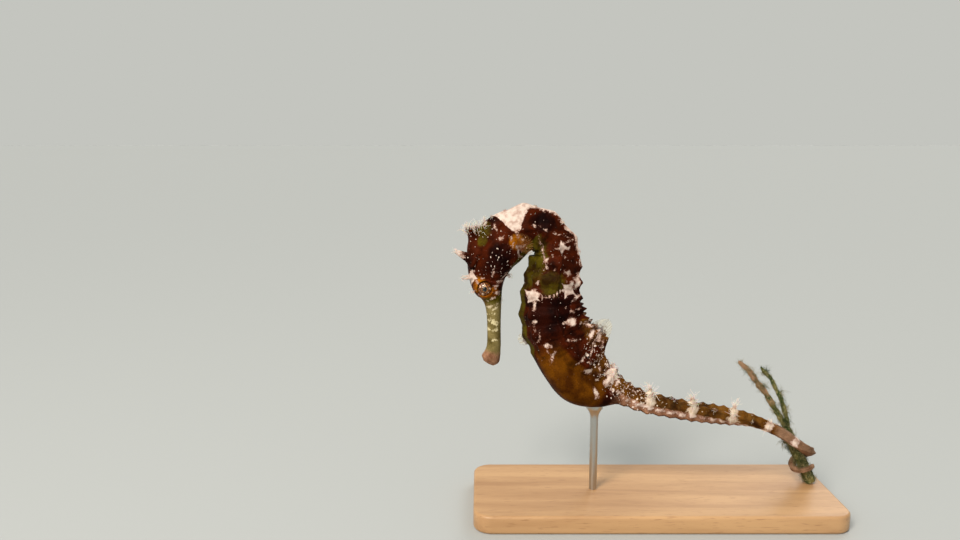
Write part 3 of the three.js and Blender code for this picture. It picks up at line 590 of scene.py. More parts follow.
def long_spine(at, back, aside, tilt, splay, length, radius):
    """A spine in metres with a flared foot and a blunt tip, slightly bent back."""
    point, ahead, up, side = (Vector(v[0]) for v in frame_at(at))
    out = Matrix.Rotation(math.radians(splay), 3, ahead) @ (Matrix.Rotation(math.radians(tilt), 3, side) @ up)
    root = point + up * back + side * aside
    first = out.cross(ahead).normalized()
    second = out.cross(first)
    turns = [2 * math.pi * i / 12 for i in range(12)]
    rings = []
    for t in (-0.12, 0, 0.06, 0.14, 0.24, 0.36, 0.5, 0.64, 0.77, 0.88, 0.96):
        thin = radius * ((1 - t) ** 0.9 * 0.62 + 0.75 * math.exp(-max(t, 0) * 9)) + 0.05
        middle = root + out * (length * t) + ahead * (SPINE_BEND * t * t * length)
        ring = [middle + first * (thin * math.cos(a)) + second * (thin * math.sin(a)) for a in turns]
        rings.append(np.array(ring) * MM)
    foot, tip = root - out * radius, root + out * length + ahead * (SPINE_BEND * length)
    return closed_tube(rings, np.array(foot) * MM, np.array(tip) * MM)


def outward(points, faces):
    """The faces, all turned outwards."""
    made = bmesh.new()
    corners = [made.verts.new(p) for p in points]
    for face in faces:
        made.faces.new([corners[i] for i in face])
    bmesh.ops.recalc_face_normals(made, faces=made.faces)
    if made.calc_volume(signed=True) < 0:
        bmesh.ops.reverse_faces(made, faces=made.faces)
    made.verts.index_update()
    turned = [[v.index for v in face.verts] for face in made.faces]
    made.free()
    return turned


def join_into(body, piece):
    """Joins a closed piece into a closed body, and leaves one closed surface."""
    joined = body.modifiers.new("joined", "BOOLEAN")
    joined.operation, joined.solver, joined.object = "UNION", "MANIFOLD", piece
    mesh = bpy.data.meshes.new_from_object(body.evaluated_get(bpy.context.evaluated_depsgraph_get()))
    body.modifiers.clear()
    body.data = mesh
    bpy.data.objects.remove(piece)


# Living skin: soft and moist over bone, so it has a dull broad sheen and no hard shine, and looks deep and
# dark where it is pigmented and chalky where it is cream.
moist_skin, skin_tree, skin_shader = material("moist_living_skin", Roughness=0.5, IOR=1.38,
                                              **{"Specular IOR Level": 0.035})
extras = [(CORONET["at"], 0.02, coronet())]
for at, back, aside, tilt, splay, length, radius, _ in LONG_SPINES:
    for hand in (1, -1):
        spine = long_spine(at, back, hand * aside, tilt, hand * splay, length, radius)
        turn = math.atan2(aside, back) / (2 * math.pi)
        extras.append((at, turn if hand > 0 else 1 - turn, spine))
skin = mesh_object("skin", skin_points, faces, moist_skin)
spiky = [mesh_object("spiky", made[0], outward(*made[:2]), moist_skin) for _, _, made in extras]
for piece in spiky[1:]:
    join_into(spiky[0], piece)
join_into(skin, spiky[0])

# ---------------------------------------------------------------- skin: markings
# Maroon to nearly black, with a cream saddle on the nape, cream stars and beads where rings and ridges
# cross, an olive throat, an amber pouch, and a tan snout and tail. The skin carries each as an attribute.


def read(items, name, width=1, kind=np.float32):
    """One value, or a row of them, from each of a mesh's vertices, faces or corners."""
    values = np.empty(len(items) * width, kind)
    items.foreach_get(name, values)
    return values if width == 1 else values.reshape(-1, width)


def carry(mesh, fields):
    """Stores numbers or vectors on a mesh's points, for a material or a node group to read."""
    for name, values in fields.items():
        values = np.asarray(values, np.float32)
        kind, key = ("FLOAT", "value") if values.ndim == 1 else ("FLOAT_VECTOR", "vector")
        mesh.attributes.new(name, kind, "POINT").data.foreach_set(key, values.ravel())


def nearest(points, numbers):
    """A finder of the nearest of some points, which knows each by its number."""
    made = kdtree.KDTree(len(points))
    for point, number in zip(points, numbers):
        made.insert(point, int(number))
    made.balance()
    return made


# Each point of the joined skin takes its place and turn from the nearest point of the pieces it came from.
piece_points = [made[0] for _, _, made in extras]
piece_sizes = [len(skin_points)] + [len(points) for points in piece_points]
source = np.vstack([skin_points] + piece_points)
source_piece = np.repeat(np.arange(len(extras) + 1), piece_sizes)
extra_at, extra_turn = (np.repeat([extra[k] for extra in extras], piece_sizes[1:]) for k in (0, 1))
source_at = np.concatenate([row_at, [0, TAIL_TIP], extra_at])
source_turn = np.concatenate([row_turn, [0.5, 0.5], extra_turn])
source_along = np.concatenate([np.zeros(len(skin_points))] + [made[2] for _, _, made in extras])
finder = nearest(source, range(len(source)))
spots = read(skin.data.vertices, "co", 3).astype(float)
near = np.array([finder.find(point)[1] for point in spots])
spots = spots / MM
at, turn, piece, along = source_at[near], source_turn[near], source_piece[near], source_along[near]
half, _ = fold(turn)
round_body = way_round(smooth_table(GIRTH, at))


def spot_at(at, turn):
    """Point of the skin in millimetres, and its directions along the body, round it and outwards."""
    ats = np.array((at, at + 0.3, at - 0.3, at, at))
    turns = np.array((turn, turn, turn, turn + 0.01, turn - 0.01)) % 1
    point, ahead, behind, round_on, round_back = on_body(ats, *shape(ats, turns)) / MM
    along, around = (v / np.linalg.norm(v) for v in (ahead - behind, round_on - round_back))
    return point, along, around, np.cross(along, around)


def blotch(at, half, length, width, lean=0, power=2):
    """How deep each point lies in a blotch on either side, in millimetres, less than 0 outside it."""
    best = np.full(len(spots), -9.0)
    c, s = math.cos(math.radians(lean)), math.sin(math.radians(lean))
    for turn, way in ((half, 1), (1 - half, -1)):
        middle, along, around, out = spot_at(at, turn)
        off = spots - middle
        u, v = off @ along, way * (off @ around)
        reach = np.abs((u * c + v * s) / length) ** power + np.abs((v * c - u * s) / width) ** power
        deep = (1 - reach ** (1 / power)) * min(length, width)
        best = np.maximum(best, np.where(np.abs(off @ out) < 3.5, deep, -9))
    return best


def tint(*areas):
    """A soft share from 0 to 1 over some areas of the skin."""
    share = np.zeros(len(spots))
    for area in areas:
        share = np.maximum(share, smoothstep(blotch(*area) / min(area[2:]), -0.5, 0.5))
    return share


# Cream blotches: place, half turn, half length, half width, lean in degrees, and the power that makes a
# star with thin or broad arms, an oval or a square.
SPIKY, STAR, SQUARE = 0.55, 0.7, 4
BLOTCHES = [
    # brow, from the spine to the eye
    (23.8, 0.075, 3.0, 2.4, 10, STAR), (22.9, 0.145, 1.3, 0.4, -60), (24.9, 0.08, 1.0, 0.5, 20),
    (26.2, 0.075, 1.0, 0.4, 60), (25.4, 0.115, 0.35, 0.3), (26.7, 0.12, 0.3, 0.25),
    (28.1, 0.03, 0.4, 1.1), (28.2, 0.115, 0.9, 1.1, 20), (27.2, 0.065, 0.45, 1.0, -35),
    # round the eye
    (23.9, 0.17, 0.35, 0.55), (20.7, 0.18, 0.8, 0.35, 45), (22.2, 0.315, 0.35, 0.55),
    (20.3, 0.29, 0.4, 0.8, 0, SQUARE), (19.6, 0.37, 0.35, 0.3), (21.5, 0.29, 0.3, 0.3),
    # cheek and throat
    (23.4, 0.36, 0.4, 1.4, -20), (25.2, 0.39, 1.3, 0.45, 15), (25.9, 0.245, 1.2, 0.32, 5),
    # nape and gill opening
    (35.1, 0.125, 0.4, 0.7, 25), (34.8, 0.16, 0.25, 0.4, 30), (34.4, 0.206, 0.75, 0.75, 35, SQUARE),
    # foot of the pectoral fin
    (36.3, 0.24, 0.35, 0.6, 30), (37.7, 0.255, 0.35, 0.6, 30), (35.9, 0.275, 0.3, 0.5, 40),
    (35.7, 0.306, 1.1, 0.32, 55), (37.2, 0.33, 0.5, 0.25, 20), (35.2, 0.35, 0.5, 1.0, 10),
    (37.9, 0.35, 0.45, 0.3), (34.2, 0.395, 0.4, 1.1, -20), (38.6, 0.3, 0.3, 0.3),
    # net on the upper trunk
    (42.3, 0.2, 0.3, 0.35), (44.8, 0.205, 0.8, 0.16, 10), (47.6, 0.165, 1.9, 0.24, -35),
    (49.8, 0.145, 0.3, 1.7), (50.4, 0.205, 2.3, 2.1, 20, STAR), (50.9, 0.135, 0.35, 1.2),
    (52.6, 0.19, 0.3, 0.4), (51.6, 0.3, 0.3, 0.3), (55.8, 0.275, 0.35, 0.4),
    (50.4, 0.37, 2.6, 0.3, 3), (53.9, 0.35, 1.5, 1.1, 30, STAR), (56.2, 0.36, 0.4, 0.5),
    (56.4, 0.155, 0.75, 1.1, 20), (58.6, 0.17, 0.3, 0.3), (60.2, 0.375, 0.7, 0.35, 20),
    # branches of the band round the trunk
    (63.4, 0.385, 3.3, 3.3, 25, SPIKY), (62.9, 0.375, 1.2, 1.4), (65.3, 0.375, 1.5, 0.4, 10),
    (60.7, 0.14, 3.4, 3.6, 30, SPIKY), (60.5, 0.135, 1.1, 1.7, -30), (58.6, 0.085, 1.7, 1.1, -20),
    (57.0, 0.055, 1.2, 0.7), (62.7, 0.08, 0.45, 1.7, -15), (58.3, 0.125, 0.9, 0.3, 40),
    # lower trunk
    (66.3, 0.165, 0.4, 0.3), (67.4, 0.085, 0.35, 0.3), (67.7, 0.128, 0.6, 0.8, 20),
    (71.1, 0.145, 1.2, 1.5, 25, 3), (70.6, 0.18, 0.4, 0.8), (76.9, 0.185, 0.36, 1.7, 35),
    (68.9, 0.372, 0.5, 1.1, -35), (70.3, 0.385, 0.8, 0.3), (72.2, 0.36, 0.9, 0.28, 15),
    (73.3, 0.378, 0.4, 0.9, -30), (75.0, 0.352, 0.8, 0.7), (76.3, 0.36, 0.5, 0.4),
    (77.6, 0.352, 0.5, 1.4, -30), (75.6, 0.33, 0.35, 0.3),
    # foot of the back fin
    (73.6, 0.055, 0.4, 0.7), (75.4, 0.05, 0.6, 0.5, 30), (77.2, 0.05, 0.5, 0.5),
    (78.6, 0.075, 0.9, 0.4, 30), (79.6, 0.085, 0.7, 1.6), (81.2, 0.055, 0.7, 1.4),
    (83.0, 0.05, 0.5, 0.7), (84.6, 0.05, 0.4, 0.5),
    # root of the tail
    (83.9, 0.15, 0.22, 2.2, -20), (83.4, 0.245, 0.45, 1.5), (86.9, 0.26, 1.5, 0.9, 15),
    (85.3, 0.215, 0.3, 0.3), (90.6, 0.2, 0.5, 0.3), (89.2, 0.16, 0.4, 0.25, 30),
    (93.4, 0.235, 1.3, 0.9, 30), (92.2, 0.33, 1.5, 0.9, 40), (90.6, 0.275, 0.9, 1.0, 0, STAR),
    (95.4, 0.27, 0.9, 0.3, 50), (97.7, 0.25, 1.2, 0.45, 10), (101.2, 0.3, 1.1, 0.6),
    (105.4, 0.285, 2.0, 0.8, 0, 1.4), (103.4, 0.27, 0.7, 0.4), (96.4, 0.17, 0.3, 0.25),
    (93.2, 0.03, 2.6, 2.0, 0, STAR), (93.0, 0.05, 0.9, 1.0), (91.2, 0.1, 0.8, 0.28, 60),
    (94.9, 0.1, 0.7, 0.22, 70), (98.6, 0.1, 0.5, 0.22, 10), (101.5, 0.09, 0.6, 0.25),
]
SADDLE = [  # half turn that the nape's saddle reaches to, and the cream edge of the back behind it
    (35.4, -0.02), (36.3, 0.06), (36.9, 0.18), (37.9, 0.235), (39.3, 0.225), (40.3, 0.16), (41.2, 0.09),
    (42.6, 0.068), (46, 0.075), (50, 0.078), (54, 0.068), (56, 0.03), (57, -0.02),
]
BAND = {"upper": (60.9, 0.16), "lower": (63.4, 0.32), "end": 0.44, "width": 0.46, "pitch": 1.2}
SNOUT_BARS = [  # place, half turn, half width and lean
    (16.4, 0.2, 1.2, -20), (15.6, 0.27, 0.6, -30), (14.1, 0.13, 0.7, 0), (11.9, 0.19, 1.3, 24),
    (9.9, 0.12, 0.7, 5), (18.4, 0.22, 0.8, -15), (9.6, 0.3, 0.5, 0), (6.9, 0.27, 0.5, 0),
]
TAIL_SADDLES = [  # number of a tall ring of the tail, half turn that its saddle reaches to, and width there
    (5, 0.09, 0.45), (9, 0.1, 0.5), (13, 0.2, 0.7), (17, 0.12, 0.5), (21, 0.08, 0.2),
]


def ring_middle(tail_ring):
    return ring_starts[[TRUNK_RINGS + tail_ring, TRUNK_RINGS + tail_ring + 1]].mean()


areas = BLOTCHES + [(middle, around, 0.3, wide, lean) for middle, around, wide, lean in SNOUT_BARS]
for number, low, down in TAIL_SADDLES:
    middle = ring_middle(number)
    areas += [(middle, 0.02, 1.5, 1.5, 0, 1.2), (middle + 0.3, low / 2, 0.7 * down, 1.8, 10, 1.5),
              (middle + 0.8, low, 2.2 * down, 1.4 * down, 0, STAR)]
pale = np.full(len(spots), -9.0)
for area in areas:
    pale = np.maximum(pale, blotch(*area))
saddle = np.minimum((np.interp(at, *zip(*SADDLE)) - half) * round_body, 1.2)
pale = np.maximum(pale, np.where((at > SADDLE[0][0]) & (at < SADDLE[-1][0]), saddle, -9))

# The band is a row of beads, and along the tail's lower ridge each knob gets a pale oval, a painted
# highlight.
(upper, low), (lower, high) = BAND["upper"], BAND["lower"]
line = upper + (lower - upper) * smoothstep(half, low, high)
beads = BAND["width"] * (0.55 + 0.6 * np.cos(half * round_body * 2 * np.pi / BAND["pitch"]))
band = np.minimum(beads - np.abs(at - line), (BAND["end"] - half) * round_body)
pale = np.maximum(pale, np.minimum(band, (half - 0.1) * round_body))
ring = ring_of(at)
ring_number = np.floor(ring).astype(int)
ring_length = np.diff(np.append(ring_starts, TAIL_TIP + 1))[np.minimum(ring_number, len(ring_starts) - 1)]
from_middle = (ring - ring_number - 0.5) * ring_length
# Painted highlight: a pale oval on each knob of the tail's lower ridge.
lower_knob_highlights = 0.75 - np.hypot(from_middle * 0.5, (half - 0.3) * round_body)
knobbed = (ring_number - TRUNK_RINGS > 3) & (ring_number - TRUNK_RINGS < 17)
pale = np.maximum(pale, np.where(knobbed, lower_knob_highlights, -9))
pale_from = np.array([0, 0] + [row[-1] for row in LONG_SPINES for _ in range(2)])[piece]
pale = np.where(piece > 1, (along - pale_from) * 4, np.where(piece == 1, -9, pale))

# Ground colours, as shares of each over the base colour, then the small marks.
ochre = 0.3 * smoothstep(at, 100, 110) * (1 - smoothstep(at, 136, 146)) * (half < 0.26)
ochre = np.maximum(1 - smoothstep(at, 14, 20), ochre)
rose = smoothstep(at, 94, 103) * smoothstep(half, 0.22, 0.26) * (1 - smoothstep(half, 0.36, 0.4))
rose = np.maximum(rose * (1 - smoothstep(at, 140, 149)), 0.75 * (1 - smoothstep(at, 2.2, 5.2)))
edge = smoothstep(at, 94, 103) * smoothstep(half, 0.375, 0.42) * (1 - smoothstep(at, 136, 146))
tan = smoothstep(at, 140, 147)
pouch = window(at, 71, 81, 92, 97) * smoothstep(half, 0.22, 0.3)
bag = pouch * (1 - smoothstep(half, 0.43, 0.475))
amber = tint((81.5, 0.38, 4.2, 3.4), (85.5, 0.35, 4.4, 3.4))
amber = np.maximum(amber, 0.74 * tint((36.6, 0.28, 2.0, 2.2), (22.6, 0.15, 2.2, 2.2), (20.4, 0.22, 1.6, 2.6)))
olive = tint((54, 0.45, 7.5, 4.0), (18.5, 0.3, 2.4, 3.0))
olive = np.maximum(olive, 0.7 * tint((33.4, 0.08, 2.6, 2.8), (31.8, 0.13, 2.0, 1.6), (59.6, 0.28, 3.2, 3.8)))
olive = np.maximum(olive, smoothstep(half, 0.435, 0.47) * window(at, 44, 50, 75, 79))
brown = np.maximum(smoothstep(at, 84, 90) * smoothstep(0.3 - half, -0.02, 0.04), smoothstep(at, 96, 104))
brown = np.maximum(brown, tint((80, 0.06, 6, 3.5)))
brown = np.maximum(brown, 0.75 * window(at, 10, 16, 18.5, 21))
black = tint((67, 0.25, 5.5, 6.5), (64.8, 0.42, 1.6, 3.0), (30, 0.26, 4.5, 3.0), (44, 0.15, 3.5, 3.0))
black = np.maximum(black, smoothstep(half, 0.455, 0.49) * window(at, 80, 84, 100, 104))
dots = np.maximum(tint((99, 0.12, 12, 5), (87, 0.12, 6, 4)), 0.3 + 0.1 * (at < 40))
dots = np.maximum(dots, np.where(piece == 1, 0.42, 0)) * (1 - smoothstep(at, 128, 140))
dots = dots * smoothstep(at, 18, 22) * (1 - 0.6 * pouch)
fan_root = spot_at(23.8, 0.25)[0]
fan_up, fan_on = spots[:, 2] - fan_root[2], spots[:, 0] - fan_root[0]
fan, fan_reach = np.arctan2(fan_up, fan_on), np.hypot(fan_up, fan_on)
fan_share = smoothstep(fan_reach, 1.6, 2.6) * (1 - 0.7 * smoothstep(fan_reach, 6, 10))
gills = tint((29.4, 0.28, 5.2, 4.2)) * fan_share
FIELDS = {
    "pale": np.clip(pale, -1, 1), "ochre": ochre, "rose": rose, "tan": tan, "amber": amber, "bag": bag,
    "olive": olive, "edge": edge, "brown": brown, "black": black, "dots": dots, "fan": fan,
    "fan_reach": fan_reach, "gills": gills,
}
carry(skin.data, FIELDS)

coords = node(skin_tree, "ShaderNodeTexCoord").outputs["Object"]
drift, mottle, grain = (  # clouds 3.3 and 1.1 mm across, and a fine grain of 0.3 mm
    node(skin_tree, "ShaderNodeTexNoise", {"Vector": coords, "Scale": scale, "Detail": detail})
    for scale, detail in ((300, 4), (900, 4), (3600, 3)))
carried = {name: node(skin_tree, "ShaderNodeAttribute", attribute_name=name).outputs["Fac"]
           for name in FIELDS}
spread = node(skin_tree, "ShaderNodeMapRange", {"Value": drift, "From Min": 0.36, "From Max": 0.64})
colour = node(skin_tree, "ShaderNodeMixRGB", {"Fac": spread, "Color1": "#1b0602", "Color2": "#441604"})
ragged = node(skin_tree, "ShaderNodeMath", {0: mottle, 1: 0.9}, operation="MULTIPLY")
ZONES = [  # attribute, how ragged its edge is, darker and lighter tone
    ("black", 0.8, "#100302", "#260903"), ("brown", 0.7, "#2e1405", "#684010"),
    ("olive", 0.8, "#2a1a04", "#4e440a"), ("amber", 0.8, "#6a3604", "#a4620a"),
    ("bag", 0.4, "#3c1c02", "#603604"), ("ochre", 0.4, "#544824", "#7e7046"),
    ("tan", 0.6, "#664a36", "#92725a"), ("rose", 0.5, "#684430", "#a67c62"),
    ("edge", 0.6, "#281006", "#4c2412"),
]
for name, share, dark, light in ZONES:
    uneven = node(skin_tree, "ShaderNodeMath", {0: ragged, 1: share, 2: carried[name]},
                  operation="MULTIPLY_ADD")
    middle, soft = 0.52 + 0.45 * share, 0.45 - 0.2 * share
    mask = node(skin_tree, "ShaderNodeMapRange",
                {"Value": uneven, "From Min": middle - soft, "From Max": middle + soft},
                interpolation_type="SMOOTHSTEP")
    there = node(skin_tree, "ShaderNodeMapRange", {"Value": carried[name], "From Max": 0.35})
    mask = node(skin_tree, "ShaderNodeMath", {0: mask, 1: there}, operation="MULTIPLY")
    tone = node(skin_tree, "ShaderNodeMixRGB", {"Fac": spread, "Color1": dark, "Color2": light})
    colour = node(skin_tree, "ShaderNodeMixRGB", {"Fac": mask, "Color1": colour, "Color2": tone})
fleck = node(skin_tree, "ShaderNodeMapRange",
             {"Value": grain, "From Min": 0.3, "From Max": 0.7, "To Min": 0.72, "To Max": 1.28})
colour = node(skin_tree, "ShaderNodeVectorMath", {0: colour, "Scale": fleck}, operation="SCALE")

# Round dots up to 0.9 mm across in cells of 1.1 mm, coarser than the real ones so that they show, with a
# stipple in cells of 0.6 mm where they crowd, and dashes that fan out over the gill cover.
jitter = node(skin_tree, "ShaderNodeTexNoise", {"Vector": coords, "Scale": 1500, "Detail": 2})
jitter = jitter.outputs["Color"]
jitter = node(skin_tree, "ShaderNodeVectorMath", {0: jitter, "Scale": 0.0006}, operation="SCALE")
shaken = node(skin_tree, "ShaderNodeVectorMath", {0: coords, 1: jitter}, operation="ADD")
turned = node(skin_tree, "ShaderNodeMath", {0: carried["fan"], 1: 6.5}, operation="MULTIPLY")
far = node(skin_tree, "ShaderNodeMath", {0: carried["fan_reach"], 1: 0.42}, operation="MULTIPLY")
polar = node(skin_tree, "ShaderNodeCombineXYZ", {"X": turned, "Y": far})
SMALL_MARKS = [  # cells: where, scale and dimensions; attribute; draw, least and most size; edge in and out
    (shaken, 900, "3D", "dots", 0, 0.1, 0.4, -0.04, 0.05),
    (polar, 1, "2D", "gills", 1, 0.05, 0.18, -0.02, 0.04),
]
stipple = node(skin_tree, "ShaderNodeTexVoronoi", {"Vector": shaken, "Scale": 1700})
dense = node(skin_tree, "ShaderNodeMapRange", {"Value": carried["dots"], "From Min": 0.6, "To Max": 0.31})
room = node(skin_tree, "ShaderNodeMath", {0: dense, 1: stipple}, operation="SUBTRACT")
small = node(skin_tree, "ShaderNodeMapRange",
             {"Value": room, "From Min": -0.03, "From Max": 0.09, "To Max": 0.8})
for where, scale, dimensions, name, draw, least, most, inner, outer in SMALL_MARKS:
    cells = node(skin_tree, "ShaderNodeTexVoronoi", {"Vector": where, "Scale": scale},
                 voronoi_dimensions=dimensions)
    chance = node(skin_tree, "ShaderNodeSeparateColor", {"Color": cells.outputs["Color"]}).outputs[draw]
    chance = node(skin_tree, "ShaderNodeMapRange", {"Value": chance, "To Min": least, "To Max": most})
    size = node(skin_tree, "ShaderNodeMath", {0: carried[name], 1: chance}, operation="MULTIPLY")
    room = node(skin_tree, "ShaderNodeMath", {0: size, 1: cells}, operation="SUBTRACT")
    mark = node(skin_tree, "ShaderNodeMapRange", {"Value": room, "From Min": inner, "From Max": outer})
    small = node(skin_tree, "ShaderNodeMath", {0: small, 1: mark}, operation="MAXIMUM")

# The cream blotches, with ragged edges, a deeper tone at the rim and a dappled heart. The same cream also
# draws the painted highlights on the knobs of the tail's lower ridge.
depth = carried["pale"]
for noise_here, reach in ((mottle, 0.42), (grain, 0.22)):
    uneven = node(skin_tree, "ShaderNodeMapRange", {"Value": noise_here, "From Min": 0.25, "From Max": 0.75,
                                                    "To Min": -reach, "To Max": reach})
    depth = node(skin_tree, "ShaderNodeMath", {0: depth, 1: uneven}, operation="ADD")
blotched = node(skin_tree, "ShaderNodeMapRange", {"Value": depth, "From Min": -0.1, "From Max": 0.24},
                interpolation_type="SMOOTHSTEP")
marks = node(skin_tree, "ShaderNodeMath", {0: small, 1: blotched}, operation="MAXIMUM")
core = node(skin_tree, "ShaderNodeMapRange", {"Value": depth, "From Min": 0, "From Max": 0.55})
dapple = node(skin_tree, "ShaderNodeMapRange",
              {"Value": mottle, "From Min": 0.36, "From Max": 0.6, "To Min": 0.45})
core = node(skin_tree, "ShaderNodeMath", {0: core, 1: dapple}, operation="MULTIPLY", use_clamp=True)
core = node(skin_tree, "ShaderNodeMath", {0: core, 1: small}, operation="MAXIMUM")
cream = node(skin_tree, "ShaderNodeMixRGB", {"Fac": core, "Color1": "#8e6454", "Color2": "#d8c6ba"})
cream = node(skin_tree, "ShaderNodeMixRGB", {"Fac": carried["ochre"], "Color1": cream, "Color2": "#ccbf96"})
colour = node(skin_tree, "ShaderNodeMixRGB", {"Fac": marks, "Color1": colour, "Color2": cream})
skin_tree.links.new(colour.outputs[0], skin_shader.inputs["Base Color"])

# Fine pebbles of 0.4 mm, and the cream stands a little proud.
pebbles = node(skin_tree, "ShaderNodeTexVoronoi", {"Vector": shaken, "Scale": 2400})
raised = node(skin_tree, "ShaderNodeMath", {0: pebbles, 1: -0.7, 2: grain}, operation="MULTIPLY_ADD")
raised = node(skin_tree, "ShaderNodeMath", {0: marks, 1: 0.35, 2: raised}, operation="MULTIPLY_ADD")
bumped = node(skin_tree, "ShaderNodeBump", {"Height": raised, "Strength": 0.45, "Distance": 0.00014})
skin_tree.links.new(bumped.outputs[0], skin_shader.inputs["Normal"])

# ---------------------------------------------------------------- skin: unwrap
# The skin's own map lays the head and trunk side by side, with the tail over them and the crown and each
# long spine in blocks of their own, so that neighbours on the skin are neighbours on the map.

CUT_AT, TAIL_CUT_AT = 45, 93
MAP_BLOCKS = {  # lowest corner and size on the unit square
    "head": (0.58, 0.01, 0.4, 0.59), "trunk": (0.01, 0.01, 0.55, 0.59), "tail": (0.01, 0.64, 0.97, 0.17),
    "crown": (0.01, 0.84, 0.24, 0.15), "spine": (0.27, 0.84, 0.05, 0.15),
}
SPINE_PITCH = 0.058
WRAPPED = 1.03  # a block is this many turns wide, for the faces that cross its start
MOUTH_DEPTH = 3.2


def unwrapped(piece, at, turn, along, stretch):
    """Places on the unit square. stretch is 0 on the head, 1 on the trunk and 2 on the tail."""
    body = piece == 0
    turn = turn / WRAPPED
    shares = {  # shares of the block across and up, and where they hold
        "head": (turn, (at + MOUTH_DEPTH) / (CUT_AT + MOUTH_DEPTH), body & (stretch == 0)),
        "trunk": (turn, (at - CUT_AT) / (TAIL_CUT_AT - CUT_AT), body & (stretch == 1)),
        "tail": ((at - TAIL_CUT_AT) / (TAIL_TIP + 1 - TAIL_CUT_AT), turn, body & (stretch == 2)),
        "crown": (turn, along, piece == 1),
        "spine": (turn, along, piece > 1),
    }
    places = np.zeros((len(at), 2))
    for block, (across, up, here) in shares.items():
        left, low, wide, tall = MAP_BLOCKS[block]
        shift = np.where(piece > 1, (piece - 2) * SPINE_PITCH, 0)
        places[here] = np.stack([left + shift + across * wide, low + up * tall], 1)[here]
    return places


def stretch_of(at):
    return np.where(at < CUT_AT, 0, np.where(at < TAIL_CUT_AT, 1, 2))


row_number = np.searchsorted(firsts, np.arange(len(row_at)), side="right") - 1
map_at = np.where(row_number < MOUTH_ROWS, -0.4 - 0.45 * (MOUTH_ROWS - 1 - row_number), row_at)
source_map_at = np.concatenate([map_at, [-MOUTH_DEPTH, TAIL_TIP + 0.4], source_at[len(skin_points):]])
source_round = np.concatenate([row_turn, [np.nan, np.nan]] + [
    np.append(made[3][:-2], (np.nan, np.nan)) for _, _, made in extras])

# A corner belongs to the piece that most of its face does.
corner_vertex = read(skin.data.loops, "vertex_index", kind=np.int32)
face_size = read(skin.data.polygons, "loop_total", kind=np.int32)
corner_face = np.repeat(np.arange(len(face_size)), face_size)
corner_source = near[corner_vertex]
pieces = len(extras) + 1
votes = np.bincount(corner_face * pieces + source_piece[corner_source], minlength=len(face_size) * pieces)
corner_piece = votes.reshape(-1, pieces).argmax(1)[corner_face]
for number in range(pieces):
    strays = np.flatnonzero((corner_piece == number) & (source_piece[corner_source] != number))
    own = np.flatnonzero(source_piece == number)
    own_finder = nearest(source[own], own)
    for corner in strays:
        corner_source[corner] = own_finder.find(spots[corner_vertex[corner]] * MM)[1]

# A face that crosses the start of the turns runs on past 1, and a pole lies in the middle of its face.
corner_round = source_round[corner_source]
least, most = np.full(len(face_size), 9.0), np.full(len(face_size), -9.0)
np.fmin.at(least, corner_face, corner_round)
np.fmax.at(most, corner_face, corner_round)
crosses = (most - least > 0.5)[corner_face]
corner_round = np.where(crosses & (corner_round < 0.5), corner_round + 1, corner_round)
known = ~np.isnan(corner_round)
mean_round = np.bincount(corner_face, np.where(known, corner_round, 0)) / np.maximum(
    np.bincount(corner_face, known), 1)
corner_round = np.where(known, corner_round, mean_round[corner_face])
corner_at = source_map_at[corner_source]
stretch = stretch_of(np.bincount(corner_face, corner_at) / face_size)[corner_face]
unwrap = unwrapped(corner_piece, corner_at, corner_round, source_along[corner_source], stretch)
skin.data.uv_layers.new(name="OFBake").data.foreach_set("uv", unwrap.ravel().astype(np.float32))

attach(skin, "root")
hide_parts("snout", "head", "coronet", "neck", "trunk_upper", "trunk_lower", "brood_pouch",
            "tail_1", "tail_2", "tail_3", "tail_4", "tail_5")

# ---------------------------------------------------------------- eyes
# Each eye is a ball held by the lids, with a gold iris streaked round a small dark pupil, and a clear wet
# cornea that bulges over it. Both are turned on the eye's axis.

PUPIL = 0.66
BALL_PROFILE = [  # radius and height along the axis, from the back over the white to the iris and the lens
    (0, -2.1), (0.8, -1.94), (1.45, -1.52), (1.9, -0.9), (2.1, 0), (2.07, 0.38), (1.96, 0.76),
    (1.8, 0.98), (1.6, 1.13), (1.3, 1.28), (1.0, 1.38), (0.78, 1.43), (0.68, 1.42), (0.6, 1.5), (0.4, 1.62),
    (0.2, 1.68), (0, 1.7),
]
CORNEA = {"outer": 2.25, "inner": 2.13, "reach": 100}  # radii, and how far round the ball it goes in degrees
# Pale spots on the iris round the pupil: partly the eye's own pale marks, partly painted highlights.
IRIS_MARKS_AND_HIGHLIGHTS = [  # bearing and distance from the middle of the pupil, and size
    (96, 0.95, 0.36), (4, 1.35, 0.3), (248, 1.45, 0.34), (150, 1.25, 0.22), (318, 1.3, 0.18),
]


def turned_solid(profile, middle, axis, sides):
    """A solid of revolution in metres, from rows of radius and height that start and end on the axis."""
    axis = Vector(axis).normalized()
    first = axis.orthogonal().normalized()
    second = axis.cross(first)
    turns = np.linspace(0, 2 * np.pi, sides, endpoint=False)
    round_axis = np.outer(np.cos(turns), first) + np.outer(np.sin(turns), second)
    middle, axis = np.array(middle, float), np.array(axis)
    rings = [middle + axis * height + round_axis * radius for radius, height in profile[1:-1]]
    points, faces, _, _ = closed_tube(rings, middle + axis * profile[0][1], middle + axis * profile[-1][1])
    return points * MM, outward(points, faces)
